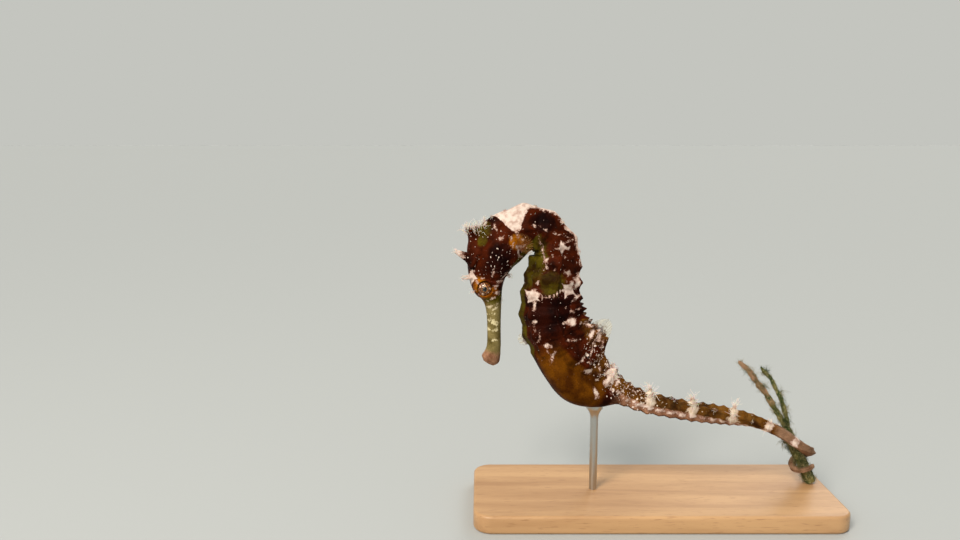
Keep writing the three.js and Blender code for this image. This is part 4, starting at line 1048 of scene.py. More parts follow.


# Iris: a wet layer of gold scales over a dark ground, so it looks like streaked brown gold with a narrow
# bright ring at the pupil and a dark rim. Its few pale spots are partly the eye's own pale marks and partly
# painted highlights. The streaks are 0.1 mm wide at the pupil and 0.25 mm at the rim.
gold_iris, iris_tree, iris_shader = material("gold_iris", Roughness=0.3, IOR=1.38)
spot = node(iris_tree, "ShaderNodeAttribute", attribute_name="from_pupil").outputs["Vector"]
flat_spot = node(iris_tree, "ShaderNodeVectorMath", {0: spot, 1: (1, 1, 0)}, operation="MULTIPLY")
iris_reach = node(iris_tree, "ShaderNodeVectorMath", {0: flat_spot}, operation="LENGTH").outputs["Value"]
bearing = node(iris_tree, "ShaderNodeVectorMath", {0: flat_spot}, operation="NORMALIZE")
bearing = node(iris_tree, "ShaderNodeVectorMath", {0: bearing, "Scale": 6}, operation="SCALE")
streaks = node(iris_tree, "ShaderNodeVectorMath", {0: bearing, 1: flat_spot}, operation="ADD")
streaks = node(iris_tree, "ShaderNodeTexNoise", {"Vector": streaks, "Scale": 1.3, "Detail": 4})
streaks = node(iris_tree, "ShaderNodeMapRange", {"Value": streaks, "From Min": 0.35, "From Max": 0.65})
# Pale spots on the iris, partly the eye's own pale marks and partly painted highlights, broken by the
# streaks.
iris_mark_and_highlight = node(iris_tree, "ShaderNodeAttribute", attribute_name="iris_mark_and_highlight").outputs["Fac"]
iris_mark_and_highlight = node(iris_tree, "ShaderNodeMath", {0: iris_mark_and_highlight, 1: streaks}, operation="MULTIPLY")
IRIS_TONES = [  # where each colour goes over the ones before: value, from and to, least and most share
    (iris_reach, PUPIL + 0.03, 0.95, 0.3, 0, "#c9964a"),
    (iris_mark_and_highlight, 0.12, 0.4, 0, 1, "#dcc0a2"),
    (iris_reach, 1.6, 1.95, 0, 1, "#56300e"),
    (iris_reach, PUPIL - 0.03, PUPIL + 0.03, 1, 0, "#050302"),
]
tone = node(iris_tree, "ShaderNodeMixRGB", {"Fac": streaks, "Color1": "#2c1203", "Color2": "#7e450c"})
for value, low, high, least, most, over in IRIS_TONES:
    share = node(iris_tree, "ShaderNodeMapRange", {"Value": value, "From Min": low, "From Max": high,
                                                   "To Min": least, "To Max": most})
    tone = node(iris_tree, "ShaderNodeMixRGB", {"Fac": share, "Color1": tone, "Color2": over})
iris_tree.links.new(tone.outputs[0], iris_shader.inputs["Base Color"])

# Cornea: clear living tissue, always wet, so it bends light as water does and catches one sharp highlight.
wet_cornea, _, _ = material("clear_wet_cornea", Roughness=0.03, IOR=1.34, **{"Transmission Weight": 1.0})

sweeps = [(CORNEA["inner"], a) for a in np.radians(np.linspace(0, CORNEA["reach"], 30))]
sweeps += [(CORNEA["outer"], a) for a in np.radians(np.linspace(CORNEA["reach"], 0, 30))]
cornea_profile = [(radius * math.sin(a), radius * math.cos(a)) for radius, a in sweeps]
for name, hand_side in (("left", 1), ("right", -1)):
    middle = on_body(EYE["at"], EYE["back"], hand_side * EYE["side"])[0] / MM
    axis = (0, -hand_side, 0)
    eye_points, eye_faces = turned_solid(BALL_PROFILE, middle, axis, 96)
    ball = mesh_object("eyeball_" + name, eye_points, eye_faces, gold_iris)
    off = eye_points / MM - middle
    flat = np.stack([off[:, 0], off[:, 2], np.abs(off[:, 1])], 1)
    # Painted highlights and pale marks: a soft pale spot at each listed place round the pupil.
    mark_and_highlight_share = np.zeros(len(flat))
    for angle, reach, size in IRIS_MARKS_AND_HIGHLIGHTS:
        place = np.array((math.cos(math.radians(angle)), math.sin(math.radians(angle)))) * reach
        mark_and_highlight_share = np.maximum(mark_and_highlight_share, bump(np.hypot(*(flat[:, :2] - place).T), size))
    carry(ball.data, {"from_pupil": flat, "iris_mark_and_highlight": mark_and_highlight_share})
    cornea = mesh_object("cornea_" + name, *turned_solid(cornea_profile, middle, axis, 72), wet_cornea)
    cornea.visible_shadow = False  # lets the lamps reach the iris
    for made in (ball, cornea):
        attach(made, "root")
    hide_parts("eye_" + name)

# ---------------------------------------------------------------- fins
# Thin clear membranes on fine rays: one on the back over the root of the tail, a fan behind each gill cover
# and a very small one under the vent. Each is a closed sheet that is thicker along its rays.

FIN_ARCH = (0.12, 0.94)  # part of a half wave that a fin's edge follows
DORSAL_FIN = {"from": 77, "to": 87, "height": 4.2, "rays": 17, "edge": 1, "wave": 0.32}
ANAL_FIN = {"from": 71.8, "to": 74.1, "height": 1.6, "rays": 4, "edge": -1, "wave": 0.1}
PECTORAL_FIN = {"at": 35.4, "back": -2.3, "root": 0.7, "length": 5.2, "rays": 15, "fan": 100, "splay": 26,
                "turn": 16}
MEMBRANE, RAY = 0.09, 0.26  # thickness


def fin_sheet(name, spot, rays, warmth=0.0, steps=(96, 22)):
    """A closed fin. spot gives a point in millimetres from shares across (0-1) and out (0-1)."""
    across, out = np.meshgrid(np.linspace(0, 1, steps[0] + 1), np.linspace(0, 1, steps[1] + 1))
    middle = spot(across.ravel(), out.ravel()).reshape(steps[1] + 1, steps[0] + 1, 3)
    face = np.cross(np.gradient(middle, axis=1), np.gradient(middle, axis=0))
    face = face / np.linalg.norm(face, axis=2)[:, :, None]
    ray = (0.5 + 0.5 * np.cos(2 * np.pi * across * (rays - 1))) ** 3
    ray = ray * (1 - 0.45 * out) * (0.8 + 0.2 * np.cos(out * 40))
    thick = (MEMBRANE + (RAY - MEMBRANE) * ray) * (1 - 0.5 * out) / 2
    points = np.concatenate([(middle + face * thick[:, :, None]).reshape(-1, 3),
                             (middle - face * thick[:, :, None]).reshape(-1, 3)])
    grid = np.arange(across.size).reshape(across.shape)
    count = across.size
    faces = []
    for row in range(steps[1]):
        for i in range(steps[0]):
            a, b, d, c = grid[row:row + 2, i:i + 2].ravel()
            faces += [(a, b, c, d), (count + d, count + c, count + b, count + a)]
    border = [*grid[0], *grid[1:, -1], *grid[-1, -2::-1], *grid[-2:0:-1, 0]]
    for a, b in zip(border, border[1:] + border[:1]):
        faces.append((b, a, count + a, count + b))
    made = mesh_object(name, points * MM, outward(points, faces), fin_membrane)
    fields = {"ray": ray, "out": out, "warm": np.full(ray.shape, warmth)}
    carry(made.data, {field: np.tile(values.ravel(), 2) for field, values in fields.items()})
    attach(made, "root")
    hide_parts(name)


def mid_fin(fin):
    """The spot function of a fin in the middle plane."""
    def spot(across, out):
        place = fin["from"] + (fin["to"] - fin["from"]) * across
        arch = np.sin(np.pi * (FIN_ARCH[0] + (FIN_ARCH[1] - FIN_ARCH[0]) * across)) ** 0.6
        between = 0.5 - 0.5 * np.cos(2 * np.pi * across * (fin["rays"] - 1))
        tall = fin["height"] * arch * (1 - 0.07 * between)
        rise = -0.9 + (tall + 0.9) * out
        girth = smooth_table(GIRTH, place)[:, 0 if fin["edge"] > 0 else 1]
        sway = fin["wave"] * out ** 2 * np.sin(2 * np.pi * 2.4 * across + 1.2 + out)
        return on_body(place, fin["edge"] * (girth + rise), sway) / MM
    return spot


def pectoral_fin(hand_side):
    """The spot function of the fan behind a gill cover."""
    point, ahead, up, side = (Vector(v[0]) for v in frame_at(PECTORAL_FIN["at"]))
    tilt = Matrix.Rotation(math.radians(-PECTORAL_FIN["turn"]), 3, side)
    splay = math.radians(PECTORAL_FIN["splay"])
    out_way = np.array(tilt @ ahead) * math.cos(splay) + np.array(side) * hand_side * math.sin(splay)
    across_way = np.array(tilt @ up)
    face = np.cross(out_way, across_way) * hand_side
    half_width = smooth_table(GIRTH, np.array([PECTORAL_FIN["at"]]))[0, 2]
    foot = np.array(point + up * PECTORAL_FIN["back"] + side * (hand_side * (half_width - 0.3)))

    def spot(across, out):
        angle = np.radians(PECTORAL_FIN["fan"]) * (across - 0.5)
        between = 0.5 - 0.5 * np.cos(2 * np.pi * across * (PECTORAL_FIN["rays"] - 1))
        full = PECTORAL_FIN["length"] * (1 - 0.05 * between) * (0.86 + 0.14 * np.sin(np.pi * across))
        reach = PECTORAL_FIN["root"] + (full - PECTORAL_FIN["root"]) * out
        lift = 0.22 * out ** 2 * np.sin(across * 9) + 0.5 * out * (1 - out)
        flat = np.outer(reach * np.cos(angle), out_way) + np.outer(reach * np.sin(angle), across_way)
        return foot + flat + np.outer(lift, face)
    return spot


# Fin membrane: skin thinner than paper between fine rays, so it is nearly clear, with the rays as fine
# straw lines, and brown at the foot in patches of 0.7 mm with pale specks 0.8 mm apart. The pectoral fins
# are warmer than the others.
fin_membrane, fin_tree, fin_shader = material("clear_fin_membrane", Roughness=0.35, IOR=1.36)
fin_coords = node(fin_tree, "ShaderNodeTexCoord").outputs["Object"]
ray_share, out_share, warm = (node(fin_tree, "ShaderNodeAttribute", attribute_name=name).outputs["Fac"]
                              for name in ("ray", "out", "warm"))
blotchy = node(fin_tree, "ShaderNodeTexNoise", {"Vector": fin_coords, "Scale": 1500, "Detail": 3})
foot_share = node(fin_tree, "ShaderNodeMath", {0: blotchy, 1: out_share}, operation="SUBTRACT")
foot_share = node(fin_tree, "ShaderNodeMapRange", {"Value": foot_share, "From Min": -0.12, "From Max": 0.16})
speckle = node(fin_tree, "ShaderNodeTexVoronoi", {"Vector": fin_coords, "Scale": 1300})
speckle = node(fin_tree, "ShaderNodeMapRange",
               {"Value": speckle, "From Min": 0.26, "From Max": 0.34, "To Min": 1, "To Max": 0})
membrane = node(fin_tree, "ShaderNodeMixRGB", {"Fac": warm, "Color1": "#d9cfa6", "Color2": "#8e5210"})
ray_tone = node(fin_tree, "ShaderNodeMixRGB", {"Fac": warm, "Color1": "#8a6436", "Color2": "#c99a5c"})
straw = node(fin_tree, "ShaderNodeMixRGB", {"Fac": ray_share, "Color1": membrane, "Color2": ray_tone})
foot_tone = node(fin_tree, "ShaderNodeMixRGB", {"Fac": speckle, "Color1": "#5a3212", "Color2": "#ecd9c0"})
foot_tone = node(fin_tree, "ShaderNodeMixRGB", {"Fac": warm, "Color1": foot_tone, "Color2": "#6a3608"})
fin_tone = node(fin_tree, "ShaderNodeMixRGB", {"Fac": foot_share, "Color1": straw, "Color2": foot_tone})
fin_tree.links.new(fin_tone.outputs[0], fin_shader.inputs["Base Color"])
dense = node(fin_tree, "ShaderNodeMath", {0: ray_share, 1: foot_share}, operation="MAXIMUM")
dense = node(fin_tree, "ShaderNodeMapRange", {"Value": dense, "To Min": 0.08, "To Max": 0.5})
thinned = node(fin_tree, "ShaderNodeMapRange", {"Value": warm, "To Min": 1, "To Max": 0.62})
dense = node(fin_tree, "ShaderNodeMath", {0: dense, 1: thinned}, operation="MULTIPLY")
fin_tree.links.new(dense.outputs[0], fin_shader.inputs["Alpha"])

fin_sheet("dorsal_fin", mid_fin(DORSAL_FIN), DORSAL_FIN["rays"])
fin_sheet("anal_fin", mid_fin(ANAL_FIN), ANAL_FIN["rays"], steps=(32, 10))
fin_sheet("pectoral_fin_left", pectoral_fin(1), PECTORAL_FIN["rays"], 1.0)
fin_sheet("pectoral_fin_right", pectoral_fin(-1), PECTORAL_FIN["rays"], 1.0)

# ---------------------------------------------------------------- skin filaments
# Soft pale filaments grow in tufts from the crown, the tips of the spines, the root of the tail and its
# tall rings. Each is a thin bent thread, set along the surface it grows from.

TUFTS = [  # place, half turn, number of filaments, length, spread, lean ahead along the body
    (93.0, 0.03, 46, 3.2, 0.9, -0.2), (91.6, 0.06, 24, 2.2, 0.9, -0.2), (94.8, 0.03, 26, 2.6, 0.9, 0.2),
    (42.4, 0.06, 16, 1.8, 0.6, 0), (46.9, 0.06, 12, 1.5, 0.6, 0), (51.8, 0.06, 14, 1.9, 0.7, 0),
    (60.6, 0.1, 14, 1.6, 0.7, 0), (63.2, 0.38, 10, 1.4, 0.7, 0), (52.4, 0.38, 8, 1.2, 0.7, 0),
    (35.6, 0.04, 20, 1.9, 0.8, -0.3), (38.0, 0.03, 20, 1.7, 0.7, 0), (40.0, 0.1, 12, 1.1, 0.8, 0),
    (78.8, 0.1, 8, 1.3, 0.7, 0), (83.9, 0.2, 6, 1.2, 0.6, 0), (90.5, 0.27, 10, 1.2, 0.8, 0),
]
TAIL_TUFTS = [  # number of the ring, number of filaments, length
    (5, 60, 2.7), (9, 60, 2.7), (13, 52, 2.5), (17, 36, 1.9), (21, 8, 0.8), (1, 26, 1.7), (3, 16, 1.1),
    (7, 20, 1.3), (11, 20, 1.2), (15, 16, 1.1),
]
CROWN_TUFTS, SPINE_TUFTS = 240, 14  # filaments on the crown's rim and on the tip of each long spine
CROWN_RIM, SPINE_TIP = (0.45, 0.85), 0.75  # shares of the length that they grow on
TUFT_WIDTH, ROOT_DEPTH = 0.22, 0.15
FILAMENT = {"Slimness": 0.03, "Tip": 0.4, "Bend": 0.5, "Sides": 4, "Points": 9}

fuzz_draw = random.Random(11)


def scattered(middle, way, count, length, spread):
    """Roots round a point, each with a direction and a length."""
    made = []
    way = Vector(way).normalized()
    for _ in range(count):
        drift = Vector([fuzz_draw.gauss(0, 1) for _ in range(3)])
        aim = (way + drift * spread * 0.5).normalized()
        shift = Vector([fuzz_draw.gauss(0, TUFT_WIDTH) for _ in range(3)])
        root = Vector(middle) + shift - way * ROOT_DEPTH
        made.append((root, aim, length * fuzz_draw.uniform(0.45, 1.05)))
    return made


def thread_tree(name):
    """Node group that grows one bent tapering thread from each vertex, along its own direction. Slimness is
    the radius over the length and Tip the radius at the tip over that at the foot."""
    tree = bpy.data.node_groups.new(name, "GeometryNodeTree")
    sockets = {}
    for label, kind in (("Geometry", "Geometry"), ("Slimness", "Float"), ("Tip", "Float"), ("Bend", "Float"),
                        ("Sides", "Int"), ("Points", "Int"), ("Material", "Material")):
        socket = tree.interface.new_socket(name=label, in_out="INPUT", socket_type="NodeSocket" + kind)
        sockets[label] = socket.identifier
    tree.interface.new_socket(name="Geometry", in_out="OUTPUT", socket_type="NodeSocketGeometry")
    given = node(tree, "NodeGroupInput").outputs
    line = node(tree, "GeometryNodeCurvePrimitiveLine", {"Start": (0, 0, 0), "End": (0, 0, 1)})
    line = node(tree, "GeometryNodeResampleCurve", {"Curve": line, "Count": given["Points"]})
    along = node(tree, "GeometryNodeSplineParameter").outputs["Factor"]
    swing = node(tree, "ShaderNodeMath", {0: along, 1: 2.2}, operation="POWER")
    swing = node(tree, "ShaderNodeMath", {0: swing, 1: given["Bend"]}, operation="MULTIPLY")
    curl = node(tree, "ShaderNodeMath", {0: along, 1: 5.0}, operation="MULTIPLY")
    curl = node(tree, "ShaderNodeMath", {0: curl}, operation="SINE")
    curl = node(tree, "ShaderNodeMath", {0: curl, 1: swing}, operation="MULTIPLY")
    shift = node(tree, "ShaderNodeCombineXYZ", {"X": swing, "Y": curl})
    line = node(tree, "GeometryNodeSetPosition", {"Geometry": line, "Offset": shift})
    thin = node(tree, "ShaderNodeMapRange", {"Value": along, "To Min": 1, "To Max": given["Tip"]})
    thin = node(tree, "ShaderNodeMath", {0: thin, 1: given["Slimness"]}, operation="MULTIPLY")
    line = node(tree, "GeometryNodeStoreNamedAttribute", {"Geometry": line, "Name": "along", "Value": along},
                data_type="FLOAT", domain="POINT")
    outline = node(tree, "GeometryNodeCurvePrimitiveCircle", {"Resolution": given["Sides"], "Radius": 1})
    tube = node(tree, "GeometryNodeCurveToMesh",
                {"Curve": line, "Profile Curve": outline, "Scale": thin, "Fill Caps": True})
    aim = node(tree, "GeometryNodeInputNamedAttribute", {"Name": "aim"}, data_type="FLOAT_VECTOR")
    aimed = node(tree, "FunctionNodeAlignRotationToVector", {"Vector": aim}, axis="Z")
    spin = node(tree, "GeometryNodeInputNamedAttribute", {"Name": "spin"}, data_type="FLOAT_VECTOR")
    aimed = node(tree, "FunctionNodeRotateRotation", {"Rotation": aimed, "Rotate By": spin},
                 rotation_space="LOCAL")
    size = node(tree, "GeometryNodeInputNamedAttribute", {"Name": "length"}, data_type="FLOAT")
    grown = node(tree, "GeometryNodeInstanceOnPoints",
                 {"Points": given["Geometry"], "Instance": tube, "Rotation": aimed, "Scale": size})
    solid = node(tree, "GeometryNodeRealizeInstances", {"Geometry": grown})
    solid = node(tree, "GeometryNodeSetMaterial", {"Geometry": solid, "Material": given["Material"]})
    node(tree, "NodeGroupOutput", {"Geometry": solid})
    return tree, sockets


def grow_threads(name, roots, shape_of_one, finish):
    """A mesh of threads from roots of point and direction in millimetres, length, and place on the unwrap."""
    seeds = bpy.data.meshes.new(name)
    seeds.from_pydata([tuple(Vector(root[0]) * MM) for root in roots], [], [])
    carry(seeds, {"length": [root[2] * MM for root in roots], "aim": [tuple(root[1]) for root in roots],
                  "spin": [(0, 0, fuzz_draw.uniform(0, 2 * math.pi)) for _ in roots],
                  "patch": [(*root[3], 0) for root in roots]})
    made = bpy.data.objects.new(name, seeds)
    scene.collection.objects.link(made)
    tree, sockets = thread_tree(name)
    grow = made.modifiers.new("grow", "NODES")
    grow.node_group = tree
    for label, value in {**shape_of_one, "Material": finish}.items():
        grow[sockets[label]] = value
    mesh = bpy.data.meshes.new_from_object(made.evaluated_get(bpy.context.evaluated_depsgraph_get()))
    made.modifiers.clear()
    made.data = mesh
    mesh.shade_smooth()
    return made


def patch_of(piece, at, turn, along=0.0):
    """Place on the unwrap of a spot of the skin, on the body (0), the crown (1) or a long spine."""
    piece, at, turn, along = (np.array([value]) for value in (piece, float(at), turn % 1, along))
    return unwrapped(piece, at, turn, along, stretch_of(at))[0]


roots = []
for at, half_turn, number, length, spread, lean in TUFTS:
    for turn in (half_turn, 1 - half_turn):
        middle, ahead, _, out = spot_at(at, turn)
        made = scattered(middle, out + ahead * lean, number, length, spread)
        roots += [(*one, patch_of(0, at, turn)) for one in made]
for ring, number, length in TAIL_TUFTS:
    at = ring_middle(ring)
    for turn in (0.05, 0.95):
        middle, _, _, out = spot_at(at, turn)
        made = scattered(middle, out + (0, 0, 0.8), number // 2, length, 0.8)
        roots += [(*one, patch_of(0, at, turn)) for one in made]
for number, (_, _, (points, _, along, around)) in enumerate(extras, 1):
    way = (points[-1] - points[-2]) / np.linalg.norm(points[-1] - points[-2])
    if number == 1:
        grow_on = np.flatnonzero((along > CROWN_RIM[0]) & (along < CROWN_RIM[1]))
        count, length = CROWN_TUFTS, 2.0
    else:
        grow_on = np.flatnonzero(along > SPINE_TIP)[:-2]
        count, length = SPINE_TUFTS, 1.1
    for i in fuzz_draw.sample([int(i) for i in grow_on], count):
        off = (points[i] - points[-2]) / MM
        aside = off - way * float(off @ way) if number == 1 else np.zeros(3)
        made = scattered(points[i] / MM, way + aside * 0.2, 1, length, 0.9)
        roots.append((*made[0], patch_of(number, 0, around[i], along[i])))

# Skin filaments: soft clear skin with no scales, so light goes into them and they look milky, pinkish at the
# foot and nearly white at the tip, uneven in patches of 1.1 mm.
pale_filament, thread_material, thread_shader = material(
    "pale_skin_filament", Roughness=0.45, IOR=1.38,
    **{"Subsurface Weight": 0.3, "Subsurface Scale": 0.0004})
thread_coords = node(thread_material, "ShaderNodeTexCoord").outputs["Object"]
uneven = node(thread_material, "ShaderNodeTexNoise", {"Vector": thread_coords, "Scale": 900})
share = node(thread_material, "ShaderNodeAttribute", attribute_name="along").outputs["Fac"]
share = node(thread_material, "ShaderNodeMath", {0: share, 1: uneven}, operation="ADD")
share = node(thread_material, "ShaderNodeMapRange", {"Value": share, "From Min": 0.35, "From Max": 0.9})
tone = node(thread_material, "ShaderNodeMixRGB", {"Fac": share, "Color1": "#94604c", "Color2": "#f0e0d4"})
thread_material.links.new(tone.outputs[0], thread_shader.inputs["Base Color"])
filaments = grow_threads("skin_filaments", roots, FILAMENT, pale_filament)

# On the skin's map each thread lies in a small patch at its root.
PATCH = 0.003
patch_at = read(filaments.data.attributes["patch"].data, "vector", 3)[:, :2]
share = read(filaments.data.attributes["along"].data, "value")
across = (np.arange(len(share)) % 5) / 5 - 0.4
patch_at = patch_at + np.stack([across, share - 0.5], 1) * PATCH
thread_corner = read(filaments.data.loops, "vertex_index", kind=np.int32)
unwrap = patch_at[thread_corner].ravel().astype(np.float32)
filaments.data.uv_layers.new(name="OFBake").data.foreach_set("uv", unwrap)
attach(filaments, "root")

# ---------------------------------------------------------------- plant
# A cut length of the water plant that the tail holds, with two of its blades. It is grown over with fine
# algae, olive and brown, and the longer blade ends in a withered pinkish brown tip.

STEM_ABOVE, STEM_BELOW = 3, 14.6  # from the tail's crossing up to the fork and down to the cut
BLADES = [  # bearing at the foot and the tip, length, set back from the tail, half width
    {"from": 116, "to": 134, "length": 26, "back": 0.4, "wide": 0.82, "dry": 1.0},
    {"from": 92, "to": 134, "length": 21, "back": 2.4, "wide": 0.62, "dry": 0.0},
]
PLANT_SIDES = 36


def swept(middles, firsts, seconds, first_reach, second_reach, ridge, seed):
    """Rings of an uneven oval stalk along some middle points."""
    turns = np.linspace(0, 2 * np.pi, PLANT_SIDES, endpoint=False)
    rings = []
    for i, (middle, first, second) in enumerate(zip(middles, firsts, seconds)):
        uneven = [noise.noise(Vector((math.cos(a) * 1.4 + seed, math.sin(a) * 1.4, i * 0.11))) for a in turns]
        reach = 1 + ridge * np.cos(turns * 7 + i * 0.05) + 0.16 * np.array(uneven)
        rings.append(middle + np.outer(np.cos(turns) * reach * first_reach[i], first)
                     + np.outer(np.sin(turns) * reach * second_reach[i], second))
    return rings


# Water plant under a felt of algae: dull and rough, dark green in patches with olive brown, flecked with pale
# specks, and pinkish brown where the blade has withered.
algae_stem, stem_tree, stem_shader = material("algae_grown_stem", Roughness=0.8,
                                              **{"Specular IOR Level": 0.3})
stem_coords = node(stem_tree, "ShaderNodeTexCoord").outputs["Object"]
patches, specks = (  # patches of 2.4 mm and specks of 0.4 mm
    node(stem_tree, "ShaderNodeTexNoise", {"Vector": stem_coords, "Scale": scale, "Detail": detail})
    for scale, detail in ((420, 4), (2400, 3)))
dry = node(stem_tree, "ShaderNodeAttribute", attribute_name="dry").outputs["Fac"]
dry = node(stem_tree, "ShaderNodeMath", {0: dry, 1: patches}, operation="ADD")
tone = "#27380f"
for value, low, high, over in ((patches, 0.4, 0.6, "#6d6535"), (specks, 0.52, 0.66, "#9a9468"),
                               (dry, 0.75, 1.1, "#a07a5e")):
    share = node(stem_tree, "ShaderNodeMapRange", {"Value": value, "From Min": low, "From Max": high})
    tone = node(stem_tree, "ShaderNodeMixRGB", {"Fac": share, "Color1": tone, "Color2": over})
stem_tree.links.new(tone.outputs[0], stem_shader.inputs["Base Color"])
stem_bump = node(stem_tree, "ShaderNodeBump", {"Height": specks, "Strength": 0.6, "Distance": 0.0002})
stem_tree.links.new(stem_bump.outputs[0], stem_shader.inputs["Normal"])

left_way = np.array((0.0, -1.0, 0.0))
STEM_ROWS, BLADE_ROWS = 90, 130
along_stem = np.linspace(-STEM_ABOVE, STEM_BELOW, STEM_ROWS)
slim = np.where(along_stem < 0, 0.85, 0.94) * STEM_RADIUS * 0.97
middles = crossing + np.outer(along_stem, down_stem)
stem_rings = swept(middles, [stem_side] * STEM_ROWS, [left_way] * STEM_ROWS, slim, slim, 0.035, 3.0)
stalks = [(stem_rings, np.zeros(STEM_ROWS))]
for number, blade in enumerate(BLADES):
    point = crossing - down_stem * STEM_ABOVE * 0.4
    middles, sides, wide, thick = [], [], [], []
    shares = np.linspace(0, 1, BLADE_ROWS)
    for t in (i / (BLADE_ROWS - 1) for i in range(BLADE_ROWS)):
        bearing = math.radians(blade["from"] + (blade["to"] - blade["from"]) * t)
        ahead = np.array((math.cos(bearing), 0, math.sin(bearing)))
        aside = np.array((-ahead[2], 0, ahead[0]))
        ripple = 0.16 * math.sin(t * 21 + number) * t
        middles.append(point - left_way * blade["back"] * math.sin(t * math.pi / 2) + aside * ripple)
        twist = 0.5 * math.sin(t * 9 + number * 2)
        sides.append(aside * math.cos(twist) + left_way * math.sin(twist))
        belly = math.sin(math.pi * (0.25 + 0.6 * t))
        knots = 1 + 0.12 * math.sin(t * 34 + number * 3) + 0.08 * math.sin(t * 71)
        end = math.sqrt(max(1 - ((t - 0.9) / 0.1) ** 2, 0.02)) if t > 0.9 else 1
        wide.append(blade["wide"] * (0.72 + 0.28 * belly) * knots * end)
        thick.append(0.4 * knots * end)
        point = point + ahead * blade["length"] / (BLADE_ROWS - 1)
    onward = np.gradient(np.array(middles), axis=0)
    flats = [np.cross(way, side) for way, side in zip(onward, sides)]
    flats = [v / np.linalg.norm(v) for v in flats]
    dryness = blade["dry"] * np.interp(shares, (0, 0.3, 0.45, 0.8, 1), (0.1, 0.05, 0.45, 0.5, 0.75))
    stalks.append((swept(middles, sides, flats, wide, thick, 0.06, 9.0 * number), dryness))

plant_parts = []
for rings, dryness in stalks:
    foot, top = rings[0].mean(0) * MM, rings[-1].mean(0) * MM
    points, stalk_faces, _, _ = closed_tube([ring * MM for ring in rings], foot, top)
    made = mesh_object("stalk", points, outward(points, stalk_faces), algae_stem)
    carry(made.data, {"dry": np.append(np.repeat(dryness, PLANT_SIDES), (dryness[0], dryness[-1]))})
    plant_parts.append(made)
plant = plant_parts[0]
plant.name = "perch_plant"
for made in plant_parts[1:]:
    join_into(plant, made)

# Algae: short soft threads all over the stem and thicker tufts on the blades.
ALGAE_THREADS = 5600
ALGA = {"Slimness": 0.03, "Tip": 0.3, "Bend": 0.7, "Sides": 3, "Points": 6}
fuzz_draw = random.Random(23)
algae_roots = []
plant.data.calc_loop_triangles()
triangles = plant.data.loop_triangles
for i in fuzz_draw.choices(range(len(triangles)), weights=[t.area for t in triangles], k=ALGAE_THREADS):
    corners = [plant.data.vertices[v] for v in triangles[i].vertices]
    place = sum((v.co for v in corners), Vector()) / 3 / MM
    way = sum((v.normal for v in corners), Vector()).normalized()
    drift = Vector([fuzz_draw.gauss(0, 0.45) for _ in range(3)])
    thick_here = 0.5 + noise.noise(place * 0.55)
    length = (0.4 + 1.3 * max(thick_here, 0) ** 2) * fuzz_draw.uniform(0.5, 1.1)
    algae_roots.append((place - way * 0.05, (way + drift).normalized(), length, (0, 0)))

# Fine algae: soft threads with silt on them, so they are quite matt, green in places and buff in others,
# in patches of 2.6 mm.
fine_algae, algae_tree, algae_shader = material("fine_algae_fuzz", Roughness=0.85,
                                                **{"Specular IOR Level": 0.25})
algae_coords = node(algae_tree, "ShaderNodeTexCoord").outputs["Object"]
share = node(algae_tree, "ShaderNodeTexNoise", {"Vector": algae_coords, "Scale": 380, "Detail": 3})
share = node(algae_tree, "ShaderNodeMapRange", {"Value": share, "From Min": 0.38, "From Max": 0.62})
tone = node(algae_tree, "ShaderNodeMixRGB", {"Fac": share, "Color1": "#35451a", "Color2": "#8a7e58"})
algae_tree.links.new(tone.outputs[0], algae_shader.inputs["Base Color"])
algae = grow_threads("perch_algae", algae_roots, ALGA, fine_algae)
for made in (plant, algae):
    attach(made, "root")
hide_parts("perch_stem")

# ---------------------------------------------------------------- stand
# A plain display stand: a base of beech with rounded edges, sanded and sealed satin, a slim steel rod with
# a shallow cup under the pouch, and a thinner pin into the cut end of the stem. The rods are a push fit.

BASE = {"length": 100, "width": 36, "height": 5, "corner": 5, "round": 0.8}
BODY_ROD = {"x": -16.5, "radius": 1.1, "cup": 2.3, "flare": 3}
PERCH_ROD = {"radius": 0.75, "in_stem": 3.2}
ROD_FLOOR = 1.2  # wood left under the rods
ROUND_STEPS, CORNER_STEPS = 5, 12


def quarter(start, steps):
    """Angles of a quarter turn."""
    return [math.radians(start + 90 * i / steps) for i in range(steps + 1)]


edge_rows = []  # level and inset of each row of the base's edge
for middle, start in ((BASE["round"], -90), (BASE["height"] - BASE["round"], 0)):
    for a in quarter(start, ROUND_STEPS):
        edge_rows.append((middle + BASE["round"] * math.sin(a), BASE["round"] * (1 - math.cos(a))))
x, y = BASE["length"] / 2 - BASE["corner"], BASE["width"] / 2 - BASE["corner"]
base_rings = []
for level, inset in edge_rows:
    reach = BASE["corner"] - inset
    base_rings.append(np.array([
        (middle[0] + reach * math.cos(a), middle[1] + reach * math.sin(a), level)
        for middle, start in (((x, y), 0), ((-x, y), 90), ((-x, -y), 180), ((x, -y), 270))
        for a in quarter(start, CORNER_STEPS)]) * MM)
count = len(base_rings[0])
base_points = np.vstack(base_rings)
base_faces = [tuple(range(count))[::-1], tuple((len(base_rings) - 1) * count + i for i in range(count))]
for row in range(len(base_rings) - 1):
    for i in range(count):
        a, b = row * count + i, row * count + (i + 1) % count
        base_faces.append((a, b, b + count, a + count))

